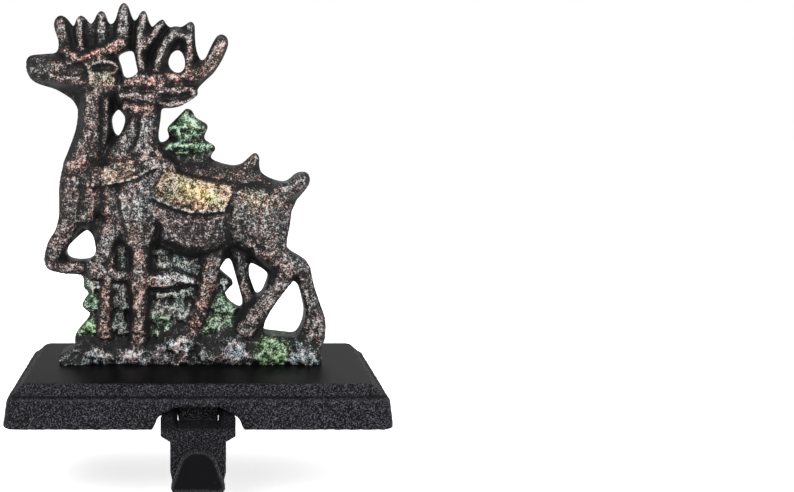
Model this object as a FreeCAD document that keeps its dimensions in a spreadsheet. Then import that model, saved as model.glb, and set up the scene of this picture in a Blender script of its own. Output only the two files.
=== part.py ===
"""Mantel stocking holder: a hollow cast tray, a reindeer figure in relief and a folding hook.

Frame: X to the right, Y away from the viewer, Z up. The origin is on the mantel, in the middle of the tray.
All lengths are millimetres.
"""
import FreeCAD, Part
import math
import os

import Sketcher
from FreeCAD import Placement, Rotation, Vector

document = FreeCAD.newDocument("stocking_holder")

# Driving sizes
sheet = document.addObject("Spreadsheet::Sheet", "sizes")
SIZES = [
    ("base_width", 160.0, "tray, left to right at the mantel"),
    ("base_depth", 88.0, "tray, front to back at the mantel"),
    ("base_height", 17.2, "mantel to the flat top"),
    ("skirt_height", 12.2, "mantel to the edge below the sloped band"),
    ("skirt_lean", 1.7, "how far the skirt leans in over its height"),
    ("ledge", 0.6, "small step between the skirt and the sloped band"),
    ("band_run", 5.6, "width of the sloped band, seen from above"),
    ("corner_radius", 6.0, "upright corners of the skirt"),
    ("wall", 3.5, "skirt thickness"),
    ("top_thickness", 4.0, "thickness of the flat top"),
    ("edge_round", 0.8, "worn bevel of the skirt's and the top's outer edges"),
    ("notch_foot", 18.7, "half width of the notch at the mantel"),
    ("notch_waist", 16.2, "half width of the notch below its sloped crown"),
    ("notch_waist_height", 5.0, "height of that waist"),
    ("notch_crown", 9.0, "half width of the notch at its top"),
    ("notch_height", 8.9, "height of the notch"),
    ("pin_setback", 11.0, "hinge axis behind the tray's front edge"),
    ("pin_height", 5.0, "hinge axis above the mantel"),
    ("pin_diameter", 4.0, "hinge pin"),
    ("pin_fit", 0.05, "radial clearance of the pin in its holes"),
    ("pin_chamfer", 0.4, "chamfer of the pin's ends"),
    ("lug_clearance", 0.3, "between the lug and each arm of the hook"),
    ("floor_clearance", 0.5, "between the lug and the floor of the hook's head"),
    ("arm_lift", 0.3, "clearance of the hook's arms over the mantel"),
    ("arm_span", 30.0, "hook's head across both arms"),
    ("fork_gap", 17.0, "gap between the arms at the lug"),
    ("fork_flare", 2.0, "how much wider each side of the head's recess is at its top"),
    ("arm_height", 7.3, "top of the arms above the mantel, at the gap"),
    ("arm_slope", 2.4, "how much lower the arms are at their outer side"),
    ("head_floor", 2.5, "floor of the head's recess above the mantel"),
    ("shank_gap", 1.5, "clearance of the shank in front of the tray"),
    ("shank_thickness", 4.5, "shank, front to back"),
    ("shank_width", 22.4, "shank, left to right"),
    ("shoulder_drop", 3.0, "where the shoulders meet the shank, below the mantel"),
    ("hook_drop", 21.6, "lowest point of the hook below the mantel"),
    ("hook_floor", 4.2, "thickness of the hook's floor"),
    ("keel_rise", 1.6, "how much higher the floor's outer ends are than its middle"),
    ("throat_width", 9.0, "room for the loop, shank to toe"),
    ("throat_round", 3.2, "rounding inside the throat"),
    ("heel_round", 5.5, "rounding outside the floor"),
    ("toe_thickness", 3.8, "toe, front to back"),
    ("toe_drop", 1.6, "tip of the toe below the mantel"),
    ("toe_lean", 3.0, "how far the toe leans forward at its tip"),
    ("toe_foot", 21.2, "width of the toe at its foot"),
    ("toe_waist", 14.8, "width of the toe where its round tip begins"),
    ("toe_arch", 6.2, "height of the round tip"),
    ("figure_height", 156.0, "figure, from the tray's top to the highest tine"),
    ("relief_depth", 16.5, "figure, from its flat back to its proudest form"),
    ("figure_setback", 8.5, "flat back of the figure behind the tray's middle"),
    ("blanket_thickness", 1.1, "saddle blanket over the back"),
    ("collar_thickness", 1.0, "collar over the neck"),
    ("web_thickness", 4.2, "plate that joins the forms"),
    ("screw_spacing", 48.0, "between the two screws"),
    ("screw_middle", 4.0, "middle of the screws, left of the tray's middle"),
    ("screw_inset", 8.0, "screws in front of the figure's back"),
    ("screw_diameter", 4.0, "screw thread"),
    ("screw_clearance", 0.2, "radial clearance of the screw in the tray"),
    ("thread_clearance", 0.05, "radial clearance of the thread in the figure"),
    ("screw_grip", 5.0, "length of the thread in the figure"),
    ("tip_clearance", 0.8, "blind hole beyond the screw's tip"),
    ("head_diameter", 8.0, "screw head"),
    ("head_height", 2.6, "screw head"),
    ("slot_width", 1.2, "slot in the screw head"),
    ("slot_depth", 1.3, "slot in the screw head"),
]
for row, (alias, length, note) in enumerate(SIZES, start=1):
    sheet.set("A%d" % row, alias)
    sheet.set("B%d" % row, str(length))
    sheet.set("C%d" % row, note)
    sheet.setAlias("B%d" % row, alias)
document.recompute()


def size(alias):
    """The value of one driving size."""
    return float(sheet.get(alias))


def new_body(label):
    """A body whose label is the name of its node."""
    body = document.addObject("PartDesign::Body", label)
    body.Label = label
    return body


def new_sketch(body, role, name, offset=None):
    """A sketch on one of the body's own origin planes, moved along its normal by an expression."""
    sketch = body.newObject("Sketcher::SketchObject", name)
    plane = [item for item in body.Origin.OriginFeatures if item.Role == role][0]
    sketch.AttachmentSupport = [(plane, "")]
    sketch.MapMode = "FlatFace"
    if offset:
        sketch.setExpression("AttachmentOffset.Base.z", offset)
    return sketch


def drive(sketch, kind, anchor, target, expression):
    """A dimension from one point of the sketch to another, bound to an expression of the sizes."""
    length = float(sketch.evalExpression(expression))
    index = sketch.addConstraint(Sketcher.Constraint(kind, *anchor, *target, length))
    sketch.setExpression("Constraints[%d]" % index, expression)


def add_outline(sketch, corners):
    """A closed outline of straight lines whose corners are pairs of expressions."""
    first = sketch.GeometryCount
    count = len(corners)
    places = [Vector(*(float(sketch.evalExpression(part)) for part in corner), 0) for corner in corners]
    for index, place in enumerate(places):
        sketch.addGeometry(Part.LineSegment(place, places[(index + 1) % count]))
    for index in range(count):
        after = first + (index + 1) % count
        sketch.addConstraint(Sketcher.Constraint("Coincident", first + index, 2, after, 1))
    for index, (across, up) in enumerate(corners):
        drive(sketch, "DistanceX", (-1, 1), (first + index, 1), across)
        drive(sketch, "DistanceY", (-1, 1), (first + index, 1), up)


def add_circle(sketch, across, up, radius):
    """A circle whose centre and radius are expressions."""
    centre = Vector(float(sketch.evalExpression(across)), float(sketch.evalExpression(up)), 0)
    length = float(sketch.evalExpression(radius))
    index = sketch.addGeometry(Part.Circle(centre, Vector(0, 0, 1), length))
    drive(sketch, "DistanceX", (-1, 1), (index, 3), across)
    drive(sketch, "DistanceY", (-1, 1), (index, 3), up)
    bound = sketch.addConstraint(Sketcher.Constraint("Radius", index, length))
    sketch.setExpression("Constraints[%d]" % bound, radius)


def add_rounded_rectangle(sketch, half_width, half_depth, radius):
    """A rectangle about the sketch's origin with round corners, from three expressions."""
    across, up, bend = (float(sketch.evalExpression(part)) for part in (half_width, half_depth, radius))
    straight_x, straight_y = across - bend, up - bend
    lines = [
        ((-straight_x, -up), (straight_x, -up)),
        ((across, -straight_y), (across, straight_y)),
        ((straight_x, up), (-straight_x, up)),
        ((-across, straight_y), (-across, -straight_y)),
    ]
    centres = [(straight_x, -straight_y), (straight_x, straight_y), (-straight_x, straight_y),
               (-straight_x, -straight_y)]
    for start, end in lines:
        sketch.addGeometry(Part.LineSegment(Vector(*start, 0), Vector(*end, 0)))
    for quarter, centre in enumerate(centres):
        circle = Part.Circle(Vector(*centre, 0), Vector(0, 0, 1), bend)
        start = (quarter - 1) * math.pi / 2
        sketch.addGeometry(Part.ArcOfCircle(circle, start, start + math.pi / 2))
    for quarter in range(4):
        sketch.addConstraint(Sketcher.Constraint("Tangent", quarter, 2, 4 + quarter, 1))
        sketch.addConstraint(Sketcher.Constraint("Tangent", 4 + quarter, 2, (quarter + 1) % 4, 1))
    sketch.addConstraint([Sketcher.Constraint("Horizontal", 0), Sketcher.Constraint("Vertical", 1)])
    sketch.addConstraint([Sketcher.Constraint("Equal", 4, other) for other in (5, 6, 7)])
    drive(sketch, "DistanceX", (-1, 1), (1, 1), half_width)
    drive(sketch, "DistanceY", (-1, 1), (0, 1), "-(%s)" % half_depth)
    drive(sketch, "DistanceX", (3, 1), (-1, 1), half_width)
    drive(sketch, "DistanceY", (-1, 1), (2, 1), half_depth)
    index = sketch.addConstraint(Sketcher.Constraint("Radius", 4, bend))
    sketch.setExpression("Constraints[%d]" % index, radius)


def loft(body, kind, name, sections):
    """A straight-sided loft through rounded rectangles given as (height, half width, half depth, radius)."""
    sketches = []
    for index, (height, half_width, half_depth, radius) in enumerate(sections):
        sketch = new_sketch(body, "XY_Plane", "%s_section_%d" % (name, index + 1), height)
        add_rounded_rectangle(sketch, half_width, half_depth, radius)
        sketches.append(sketch)
    feature = body.newObject(kind, name)
    feature.Profile = sketches[0]
    feature.Sections = sketches[1:]
    feature.Ruled = True
    document.recompute()
    return feature


def pad(body, sketch, name, length):
    """A pad to both sides of its sketch, of an overall length given as an expression."""
    feature = body.newObject("PartDesign::Pad", name)
    feature.Profile = sketch
    feature.Midplane = True
    feature.setExpression("Length", length)
    document.recompute()
    return feature


def pocket(body, sketch, name, length, forward=None):
    """A cut of a given length: to both sides of its sketch, or forward or against its normal."""
    before = body.Shape.Volume
    feature = body.newObject("PartDesign::Pocket", name)
    feature.Profile = sketch
    feature.Midplane = forward is None
    feature.Reversed = bool(forward)
    feature.setExpression("Length", length)
    document.recompute()
    if not body.Shape.Volume < before:
        raise ValueError("%s cuts nothing" % name)
    return feature


def edges_at(shape, matches):
    """Names of the edges whose middle point matches."""
    names = []
    for index, edge in enumerate(shape.Edges, start=1):
        middle = edge.valueAt((edge.FirstParameter + edge.LastParameter) / 2)
        if matches(middle, edge):
            names.append("Edge%d" % index)
    return names


def fillet(body, name, radius, matches):
    """A fillet on the edges of the body's present shape that match."""
    base = body.Tip
    names = edges_at(base.Shape, matches)
    if not names:
        raise ValueError("%s finds no edge" % name)
    feature = body.newObject("PartDesign::Fillet", name)
    feature.Base = (base, names)
    feature.setExpression("Radius", radius)
    document.recompute()
    return feature


def close(first, second):
    """Whether two lengths are the same within a hundredth."""
    return abs(first - second) < 0.01


# Base tray

def make_base_tray():
    """The hollow tray with its notch and the hinge lug under its top."""
    body = new_body("base_tray")
    half_width, half_depth = "sizes.base_width / 2", "sizes.base_depth / 2"
    lean = "sizes.skirt_lean"

    def inset(height, amount, radius):
        return height, "%s - (%s)" % (half_width, amount), "%s - (%s)" % (half_depth, amount), radius

    worn = "sizes.edge_round"
    step = "%s + %s + sizes.ledge" % (lean, worn)
    crown = "%s + sizes.band_run" % step
    thinner = "sizes.corner_radius - %s" % lean
    loft(body, "PartDesign::AdditiveLoft", "skirt", [
        inset("0", "0", "sizes.corner_radius"),
        inset("sizes.skirt_height - %s" % worn, lean, thinner),
        inset("sizes.skirt_height", "%s + %s" % (lean, worn), "%s - %s" % (thinner, worn))])
    loft(body, "PartDesign::AdditiveLoft", "band", [
        inset("sizes.skirt_height - sizes.wall", step, "%s - %s" % (thinner, worn)),
        inset("sizes.skirt_height", step, "%s - %s" % (thinner, worn)),
        inset("sizes.base_height - %s / 2" % worn, "%s - %s" % (crown, worn), "(%s) * 0.6" % thinner),
        inset("sizes.base_height", crown, "(%s) * 0.5" % thinner)])
    ceiling = "sizes.base_height - sizes.top_thickness"
    inner = "(%s) * 0.5" % thinner
    loft(body, "PartDesign::SubtractiveLoft", "hollow", [
        inset("0", "sizes.wall", inner),
        inset("sizes.skirt_height - sizes.top_thickness", "sizes.wall + %s" % lean, inner),
        inset(ceiling, "sizes.wall + %s" % crown, inner)])

    notch = new_sketch(body, "XZ_Plane", "notch_outline", "%s - sizes.wall * 1.5" % half_depth)
    foot, waist, crown_half = "sizes.notch_foot", "sizes.notch_waist", "sizes.notch_crown"
    below = "-sizes.wall"
    add_outline(notch, [
        ("-" + foot, below), (foot, below), (foot, "0"), (waist, "sizes.notch_waist_height"),
        (crown_half, "sizes.notch_height"), ("-" + crown_half, "sizes.notch_height"),
        ("-" + waist, "sizes.notch_waist_height"), ("-" + foot, "0")])
    pocket(body, notch, "notch", "sizes.wall * 3", forward=True)

    lug = new_sketch(body, "YZ_Plane", "lug_outline")
    axis = "sizes.pin_setback - %s" % half_depth
    reach = "(sizes.pin_height - sizes.arm_lift)"
    lug_width = "sizes.fork_gap - 2 * sizes.lug_clearance"
    add_outline(lug, [
        ("%s - %s" % (axis, reach), "sizes.pin_height"), ("%s + %s" % (axis, reach), "sizes.pin_height"),
        ("%s + %s" % (axis, reach), "%s + sizes.top_thickness / 2" % ceiling),
        ("%s - %s" % (axis, reach), "%s + sizes.top_thickness / 2" % ceiling)])
    pad(body, lug, "lug_post", lug_width)
    eye = new_sketch(body, "YZ_Plane", "lug_eye_outline")
    add_circle(eye, axis, "sizes.pin_height", reach)
    pad(body, eye, "lug_eye", lug_width)
    bore = new_sketch(body, "YZ_Plane", "lug_bore_outline")
    add_circle(bore, axis, "sizes.pin_height", "sizes.pin_diameter / 2 + sizes.pin_fit")
    pocket(body, bore, "lug_bore", "sizes.fork_gap * 2")

    holes = new_sketch(body, "XY_Plane", "screw_hole_outline", "sizes.base_height")
    for side in ("-", "+"):
        add_circle(holes, "-sizes.screw_middle %s sizes.screw_spacing / 2" % side,
                   "sizes.figure_setback - sizes.screw_inset",
                   "sizes.screw_diameter / 2 + sizes.screw_clearance")
    pocket(body, holes, "screw_holes", "sizes.top_thickness * 2")
    return body


# Folding hook

def make_hook():
    """The forked hook, in a frame whose origin is on the hinge axis."""
    body = new_body("stocking_hook")
    mantel = "-sizes.pin_height"
    shank_back = "-(sizes.pin_setback + sizes.shank_gap)"
    shank_front = "%s - sizes.shank_thickness" % shank_back
    toe_back = "%s - sizes.throat_width" % shank_front
    toe_front = "%s - sizes.toe_thickness" % toe_back
    underside = "%s + sizes.arm_lift" % mantel
    arm_top = "%s + sizes.arm_height" % mantel
    bottom = "%s - sizes.hook_drop" % mantel
    floor_top = "%s + sizes.hook_floor" % bottom
    tip = "%s - sizes.toe_drop" % mantel

    profile = new_sketch(body, "YZ_Plane", "side_profile")
    add_outline(profile, [
        (shank_back, underside), (shank_back, bottom), (toe_front, bottom),
        ("%s - sizes.toe_lean" % toe_front, tip), ("%s - sizes.toe_lean" % toe_back, tip),
        (toe_back, floor_top), (shank_front, floor_top), (shank_front, arm_top), ("0", arm_top),
        ("0", underside)])
    pad(body, profile, "side", "sizes.arm_span")

    back = -(size("pin_setback") + size("shank_gap"))
    front = back - size("shank_thickness") - size("throat_width") - size("toe_thickness")
    low = -size("pin_height") - size("hook_drop")
    floor = low + size("hook_floor")
    fillet(body, "heel", "sizes.heel_round", lambda middle, _: close(middle.x, 0) and close(middle.z, low)
           and (close(middle.y, back) or close(middle.y, front)))
    fillet(body, "throat", "sizes.throat_round", lambda middle, _: close(middle.x, 0)
           and close(middle.z, floor) and front < middle.y < back)

    eye = new_sketch(body, "YZ_Plane", "eye_outline")
    add_circle(eye, "0", "0", "sizes.pin_height - sizes.arm_lift")
    pad(body, eye, "eye", "sizes.arm_span")
    bore = new_sketch(body, "YZ_Plane", "bore_outline")
    add_circle(bore, "0", "0", "sizes.pin_diameter / 2 + sizes.pin_fit")
    pocket(body, bore, "bore", "sizes.arm_span * 2")

    half_gap = "sizes.fork_gap / 2"
    eye_front = "-(sizes.pin_height - sizes.arm_lift + sizes.floor_clearance)"
    gap = new_sketch(body, "XY_Plane", "gap_outline")
    add_outline(gap, [
        ("-%s" % half_gap, eye_front), (half_gap, eye_front),
        (half_gap, "sizes.pin_height * 2"), ("-%s" % half_gap, "sizes.pin_height * 2")])
    pocket(body, gap, "gap", "sizes.pin_height * 4")
    recess = new_sketch(body, "XZ_Plane", "recess_outline", "-(%s)" % eye_front)
    sill, lintel = "%s + sizes.head_floor" % mantel, "sizes.pin_height * 2"
    wide = "%s + sizes.fork_flare" % half_gap
    add_outline(recess, [
        ("-%s" % half_gap, sill), (half_gap, sill), (wide, arm_top), (wide, lintel),
        ("-(%s)" % wide, lintel), ("-(%s)" % wide, arm_top)])
    pocket(body, recess, "recess", "sizes.arm_span", forward=True)

    half_span, half_shank = "sizes.arm_span / 2", "sizes.shank_width / 2"
    flanks = new_sketch(body, "XZ_Plane", "flank_outline")
    beyond = "%s + sizes.wall" % half_span
    shoulder = "%s - sizes.shoulder_drop" % mantel
    keel = "%s + sizes.keel_rise" % bottom
    shoulder_top = "%s - sizes.shoulder_drop / 4" % mantel
    right = [(half_span, shoulder_top), (half_shank, shoulder),
             (half_shank, "%s + sizes.hook_floor" % keel), ("%s * 0.86" % half_shank, keel)]
    left = [("-(%s)" % across, up) for across, up in right[::-1]]
    below = "%s - sizes.wall" % bottom
    add_outline(flanks, right + [("0", bottom)] + left + [
        ("-(%s)" % beyond, shoulder_top), ("-(%s)" % beyond, below), (beyond, below),
        (beyond, shoulder_top)])
    pocket(body, flanks, "flanks", "sizes.arm_span * 4")
    slopes = new_sketch(body, "XZ_Plane", "arm_slope_outline")
    for side in ("", "-1 * "):
        add_outline(slopes, [(side + "(%s)" % across, up) for across, up in [
            (half_span, "%s - sizes.arm_slope" % arm_top), (beyond, "%s - sizes.arm_slope" % arm_top),
            (beyond, lintel), (wide, lintel), (wide, arm_top)]])
    pocket(body, slopes, "arm_slopes", "sizes.arm_span")

    arch = new_sketch(body, "XZ_Plane", "toe_outline", "-(%s) + sizes.throat_width / 2" % shank_front)
    foot, waist = "sizes.toe_foot / 2", "sizes.toe_waist / 2"
    rim, spring = "%s + sizes.wall" % tip, "%s - sizes.toe_arch" % tip
    add_toe_cutter(arch, foot, waist, floor_top, spring, tip, rim, beyond)
    pocket(body, arch, "toe_shape", "sizes.arm_span", forward=True)
    body.setExpression("Placement.Base.y", "sizes.pin_setback - sizes.base_depth / 2")
    body.setExpression("Placement.Base.z", "sizes.pin_height")
    return body


def add_toe_cutter(sketch, foot, waist, floor_top, spring, tip, rim, beyond):
    """Everything outside the toe's thumb shape: straight flanks and an arc over the tip."""
    corners = [(waist, spring), (foot, floor_top), (beyond, floor_top), (beyond, rim),
               ("-(%s)" % beyond, rim), ("-(%s)" % beyond, floor_top), ("-(%s)" % foot, floor_top),
               ("-(%s)" % waist, spring)]
    places = [Vector(*(float(sketch.evalExpression(part)) for part in corner), 0) for corner in corners]
    crown = Vector(0, float(sketch.evalExpression(tip)), 0)
    for start, end in zip(places, places[1:]):
        sketch.addGeometry(Part.LineSegment(start, end))
    bow = sketch.addGeometry(Part.Arc(places[0], crown, places[-1]))
    for index in range(len(corners) - 2):
        sketch.addConstraint(Sketcher.Constraint("Coincident", index, 2, index + 1, 1))
    arc = sketch.Geometry[bow]
    left_end, right_end = (1, 2) if arc.StartPoint.x < arc.EndPoint.x else (2, 1)
    sketch.addConstraint(Sketcher.Constraint("Coincident", bow, right_end, 0, 1))
    sketch.addConstraint(Sketcher.Constraint("Coincident", bow, left_end, len(corners) - 2, 2))
    for index, (across, up) in enumerate(corners[:-1]):
        drive(sketch, "DistanceX", (-1, 1), (index, 1), across)
        drive(sketch, "DistanceY", (-1, 1), (index, 1), up)
    drive(sketch, "DistanceX", (-1, 1), (len(corners) - 2, 2), corners[-1][0])
    drive(sketch, "DistanceY", (-1, 1), (len(corners) - 2, 2), corners[-1][1])
    half, rise = "(%s)" % waist, "(%s - (%s))" % (tip, spring)
    radius = "(%s * %s + %s * %s) / (2 * %s)" % (half, half, rise, rise, rise)
    bound = sketch.addConstraint(Sketcher.Constraint("Radius", bow, arc.Radius))
    sketch.setExpression("Constraints[%d]" % bound, radius)


# Turned pieces

def make_pin():
    """The steel hinge pin, along X, as wide as the hook's head less its chamfers."""
    body = new_body("hook_pin")
    profile = new_sketch(body, "XY_Plane", "pin_profile")
    half, radius = "(sizes.arm_span / 2 - sizes.pin_chamfer)", "sizes.pin_diameter / 2"
    slim = "%s - sizes.pin_chamfer" % radius
    straight = "%s - sizes.pin_chamfer" % half
    add_outline(profile, [
        ("-%s" % half, "0"), (half, "0"), (half, slim), (straight, radius),
        ("-(%s)" % straight, radius), ("-%s" % half, slim)])
    revolve(body, profile, "pin", "X_Axis")
    body.setExpression("Placement.Base.y", "sizes.pin_setback - sizes.base_depth / 2")
    body.setExpression("Placement.Base.z", "sizes.pin_height")
    return body


def make_screw(label, side):
    """One slotted screw from beneath, its head against the underside of the tray's top."""
    body = new_body(label)
    profile = new_sketch(body, "XZ_Plane", "screw_profile")
    head, shank = "sizes.head_diameter / 2", "sizes.screw_diameter / 2"
    reach = "sizes.top_thickness + sizes.screw_grip"
    add_outline(profile, [
        ("0", "-sizes.head_height"), (head, "-sizes.head_height"), (head, "0"), (shank, "0"),
        (shank, reach), ("0", reach)])
    revolve(body, profile, "screw", "Z_Axis")
    slot = new_sketch(body, "XY_Plane", "slot_outline", "-sizes.head_height")
    add_outline(slot, [
        ("-" + head, "-sizes.slot_width / 2"), (head, "-sizes.slot_width / 2"),
        (head, "sizes.slot_width / 2"), ("-" + head, "sizes.slot_width / 2")])
    pocket(body, slot, "slot", "sizes.slot_depth", forward=True)
    body.setExpression("Placement.Base.x", "-sizes.screw_middle %s sizes.screw_spacing / 2" % side)
    body.setExpression("Placement.Base.y", "sizes.figure_setback - sizes.screw_inset")
    body.setExpression("Placement.Base.z", "sizes.base_height - sizes.top_thickness")
    return body


def revolve(body, sketch, name, role):
    """A full turn of a profile about one of the body's own axes."""
    feature = body.newObject("PartDesign::Revolution", name)
    feature.Profile = sketch
    axis = [item for item in body.Origin.OriginFeatures if item.Role == role][0]
    feature.ReferenceAxis = (axis, [""])
    feature.Angle = 360
    document.recompute()
    return feature


# Reindeer figure
# Every form is a chain of stations (across, up, half width) in the figure's own frame, whose origin is on its flat
# back at the tray's top, drawn for a figure 156 high. A form has straight flanks behind and a bowed front.

DRAWN_HEIGHT = 156.0
DRAWN_RELIEF = 16.5
SCALE = size("figure_height") / DRAWN_HEIGHT
PROUD_SCALE = size("relief_depth") / DRAWN_RELIEF
# How far the forms reach behind the flat back before they are cut off there
BEHIND = 4.0
# How much lower a form's shoulders are than its crest, as a share of its half width, and the least they are
BOW = 0.8
LEAST_SHOULDER = 0.35
# A rounded end: how far it reaches, how much slimmer and how much lower it gets, as shares of the half width
TIP_REACH = 0.62
TIP_SHRINK = 0.55
TIP_DROP = 0.3
# Chords over the front of a broad form and of a slim one
BROAD_HALF = 6.0
BROAD_CHORDS = 6
SLIM_CHORDS = 4
EAR_DEPTH = 3.0


def section(place, heading, half, proud, chords):
    """One closed section across a form: flanks from behind the back and a bow of chords over the front."""
    side = Vector(-heading.z, 0, heading.x) * half
    shoulder = max(proud - BOW * half, proud * LEAST_SHOULDER)
    places = [place + side + Vector(0, BEHIND, 0)]
    for step in range(chords + 1):
        angle = math.pi * step / chords
        forward = shoulder + (proud - shoulder) * math.sin(angle)
        places.append(place + side * math.cos(angle) - Vector(0, forward, 0))
    places.append(place - side + Vector(0, BEHIND, 0))
    return Part.makePolygon(places + places[:1])


def form(stations, proud, tips="", grow=0.0):
    """A tapered form through its stations; proud is one height above the back, or one at each end.

    tips says which ends are rounded: "s" for the start, "e" for the end. grow swells it all over.
    """
    first, last = proud if isinstance(proud, tuple) else (proud, proud)
    count = len(stations)
    places = [Vector(across * SCALE, 0, up * SCALE) for across, up, _ in stations]
    halves = [half * SCALE + grow for _, _, half in stations]
    heights = [(first + (last - first) * index / (count - 1)) * PROUD_SCALE + grow for index in range(count)]
    legs = [(after - before).normalize() for before, after in zip(places, places[1:])]
    headings = [legs[0]] + [(a + b).normalize() for a, b in zip(legs, legs[1:])] + [legs[-1]]
    rows = list(zip(places, headings, halves, heights))
    if "s" in tips:
        rows.insert(0, tip_row(rows[0], -1))
    if "e" in tips:
        rows.append(tip_row(rows[-1], 1))
    chords = BROAD_CHORDS if max(halves) > BROAD_HALF * SCALE else SLIM_CHORDS
    return Part.makeLoft([section(*row, chords) for row in rows], True, True)


def tip_row(row, way):
    """The small last station that rounds off an end."""
    place, heading, half, proud = row
    outward = heading * (way * TIP_REACH * half)
    return place + outward, heading, half * TIP_SHRINK, proud - half * TIP_DROP


def slab(corners, proud):
    """A flat plate of a given height above the back."""
    places = [Vector(across * SCALE, BEHIND, up * SCALE) for across, up in corners]
    return Part.Face(Part.makePolygon(places + places[:1])).extrude(Vector(0, -BEHIND - proud, 0))


# The casting's outline from the front, from the ground's left foot up over the heads and down to the right one
OUTLINE = [
    (-60.5, 0), (-61, 3.5), (-58, 5), (-53.5, 6.5), (-54.5, 11.5), (-53, 13.5), (-49, 18), (-47.5, 21), (-48, 22.5),
    (-51.5, 25), (-49.5, 28), (-47.5, 30.5), (-50.5, 33), (-50, 36.5), (-51.5, 39), (-57, 39), (-61.5, 40),
    (-65, 41), (-67.5, 44), (-66.5, 49.5), (-65, 54), (-61.5, 59), (-60, 65), (-60, 78), (-59, 83.5),
    (-57.5, 89), (-53, 101), (-52, 106), (-51.5, 110.5), (-54, 115), (-58, 117.5), (-61.5, 119.5), (-68.5, 121.5),
    (-71, 123), (-73.5, 127.5), (-73.8, 131), (-72.5, 133.5), (-60.5, 134.5), (-59, 137), (-59.5, 141), (-61, 144),
    (-61.5, 147), (-60.5, 149.5), (-58.5, 150.5), (-56.5, 149.5), (-54, 146), (-52.7, 145.8), (-51.5, 149),
    (-50, 150.5), (-48.5, 149.5), (-47, 147.5), (-45.5, 146.5), (-44, 148.5), (-43, 151), (-41, 152.5), (-39.8, 151),
    (-39, 148), (-37.5, 146.5), (-36, 147), (-34.5, 149.5), (-33.5, 153.5), (-31.7, 156), (-30, 154.5), (-29, 151),
    (-27.5, 147.8), (-25.5, 149), (-24.5, 151.5), (-23, 152.5), (-22, 151), (-21.5, 148.5), (-20, 145.5),
    (-19, 145.5), (-17, 147.5), (-15, 149), (-14, 147), (-12, 145), (-9.5, 146), (-7.5, 145.2), (-5, 146.5),
    (-3, 148), (-1.5, 146.5), (-1.5, 141.5), (-1, 136), (0.5, 132), (2, 131.2), (3.5, 132.5), (5, 136), (7, 140),
    (8.5, 142), (10.5, 142.5), (12.5, 141), (12.8, 138), (11.5, 134.5), (9.5, 130.5), (6.5, 126), (3, 123),
    (0, 120), (-0.5, 118.5), (0, 117), (-3.5, 114.5), (-8, 112), (-12, 111.3), (-16, 111.5), (-16.5, 106),
    (-17.5, 99.5), (-17, 96.5), (-15, 96.2), (-12, 98.5), (-13.5, 102.5), (-11.5, 104.5), (-6, 110), (-5, 111),
    (-2.5, 110), (-1.5, 107), (1.5, 105.5), (4, 104), (4, 102.5), (2.5, 99.5), (2.7, 97.3), (7, 95), (7.5, 93.5),
    (5.5, 91.5), (5.5, 89), (10.5, 87), (16, 86), (19.5, 87), (22.5, 90), (25, 92), (26.5, 90.5), (26.5, 85.5),
    (27.5, 83), (30.5, 81), (34.5, 79.5), (38, 79), (40.5, 80.5), (43, 83), (46, 83.5), (48, 83), (48.5, 80),
    (47, 77), (43.5, 72), (40, 68), (39.5, 62), (38.5, 57), (38, 52), (40, 49), (46, 45.5), (48.5, 43.5),
    (49, 40.5), (50.5, 34), (53, 27), (55.5, 20.5), (56, 14.5), (56, 10.5), (53.8, 7), (54, 0)]
# The openings through the casting: under the antlers, between the necks, and between the legs
OPENINGS = [
    [(-34.5, 133), (-32.5, 134.5), (-29.5, 135.5), (-27.5, 135), (-26, 128), (-25.5, 126), (-29, 124),
     (-32, 124.5), (-33, 129.5)],
    [(-9, 136), (-7, 135), (-5.5, 131), (-6, 127.5), (-8.5, 126), (-11.5, 127.5), (-13, 130.5), (-11.5, 134.5)],
    [(-34.5, 111), (-32, 108.5), (-31.5, 105.5), (-33, 101), (-35, 99), (-36.8, 101.5), (-37.5, 107)],
    [(-48.5, 58.5), (-46, 55), (-44.5, 52), (-44.5, 49), (-46.5, 46), (-49, 45), (-54, 45), (-57, 46), (-58, 48),
     (-57, 51), (-53.5, 54.5)],
    [(11.5, 45), (14, 45.5), (15, 43), (17.5, 34), (19.5, 27), (19.5, 24), (18, 23.5), (13.5, 26.5), (11.5, 31),
     (15.5, 34), (15.5, 35.5), (9.5, 40.5), (9.5, 42)],
    [(22.5, 43.5), (25.5, 42.5), (29.5, 40), (31, 38), (28.5, 31), (26.5, 29.5), (25.5, 30), (22.5, 38.5)],
    [(41, 36.5), (43.5, 35), (45, 31), (47, 22.5), (46.5, 18), (45, 14), (43, 11.5), (30, 13), (28.5, 14),
     (31.5, 23), (35, 28.5)],
]


def outline_prism():
    """Everything inside the outline and outside the openings, from behind the back to before the proudest form."""
    wires = []
    for corners in [OUTLINE] + OPENINGS:
        places = [Vector(across * SCALE, BEHIND, up * SCALE) for across, up in corners]
        wires.append(Part.makePolygon(places + places[:1]))
    face = Part.Face(wires, "Part::FaceMakerBullseye")
    return face.extrude(Vector(0, -BEHIND - 2 * size("relief_depth"), 0))


NEAR_BARREL = [(-27, 68, 10), (-18, 66.5, 13), (-8, 65, 14.8), (3, 65, 14.5), (10, 66, 13.5), (16, 67, 12.5)]
NEAR_NECK = [(-22, 110, 5.5), (-22, 104, 5.8), (-23, 98, 6.5), (-25.5, 91, 8.5), (-28, 83, 10.5), (-29, 75, 11.5),
             (-28.5, 66, 10.5)]
FAR_NECK = [(-44.5, 118, 7.5), (-44.5, 110, 7), (-45.5, 101, 7.5), (-47.5, 92, 9.5), (-49.5, 82, 10.5),
            (-50, 72, 9.5)]


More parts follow.
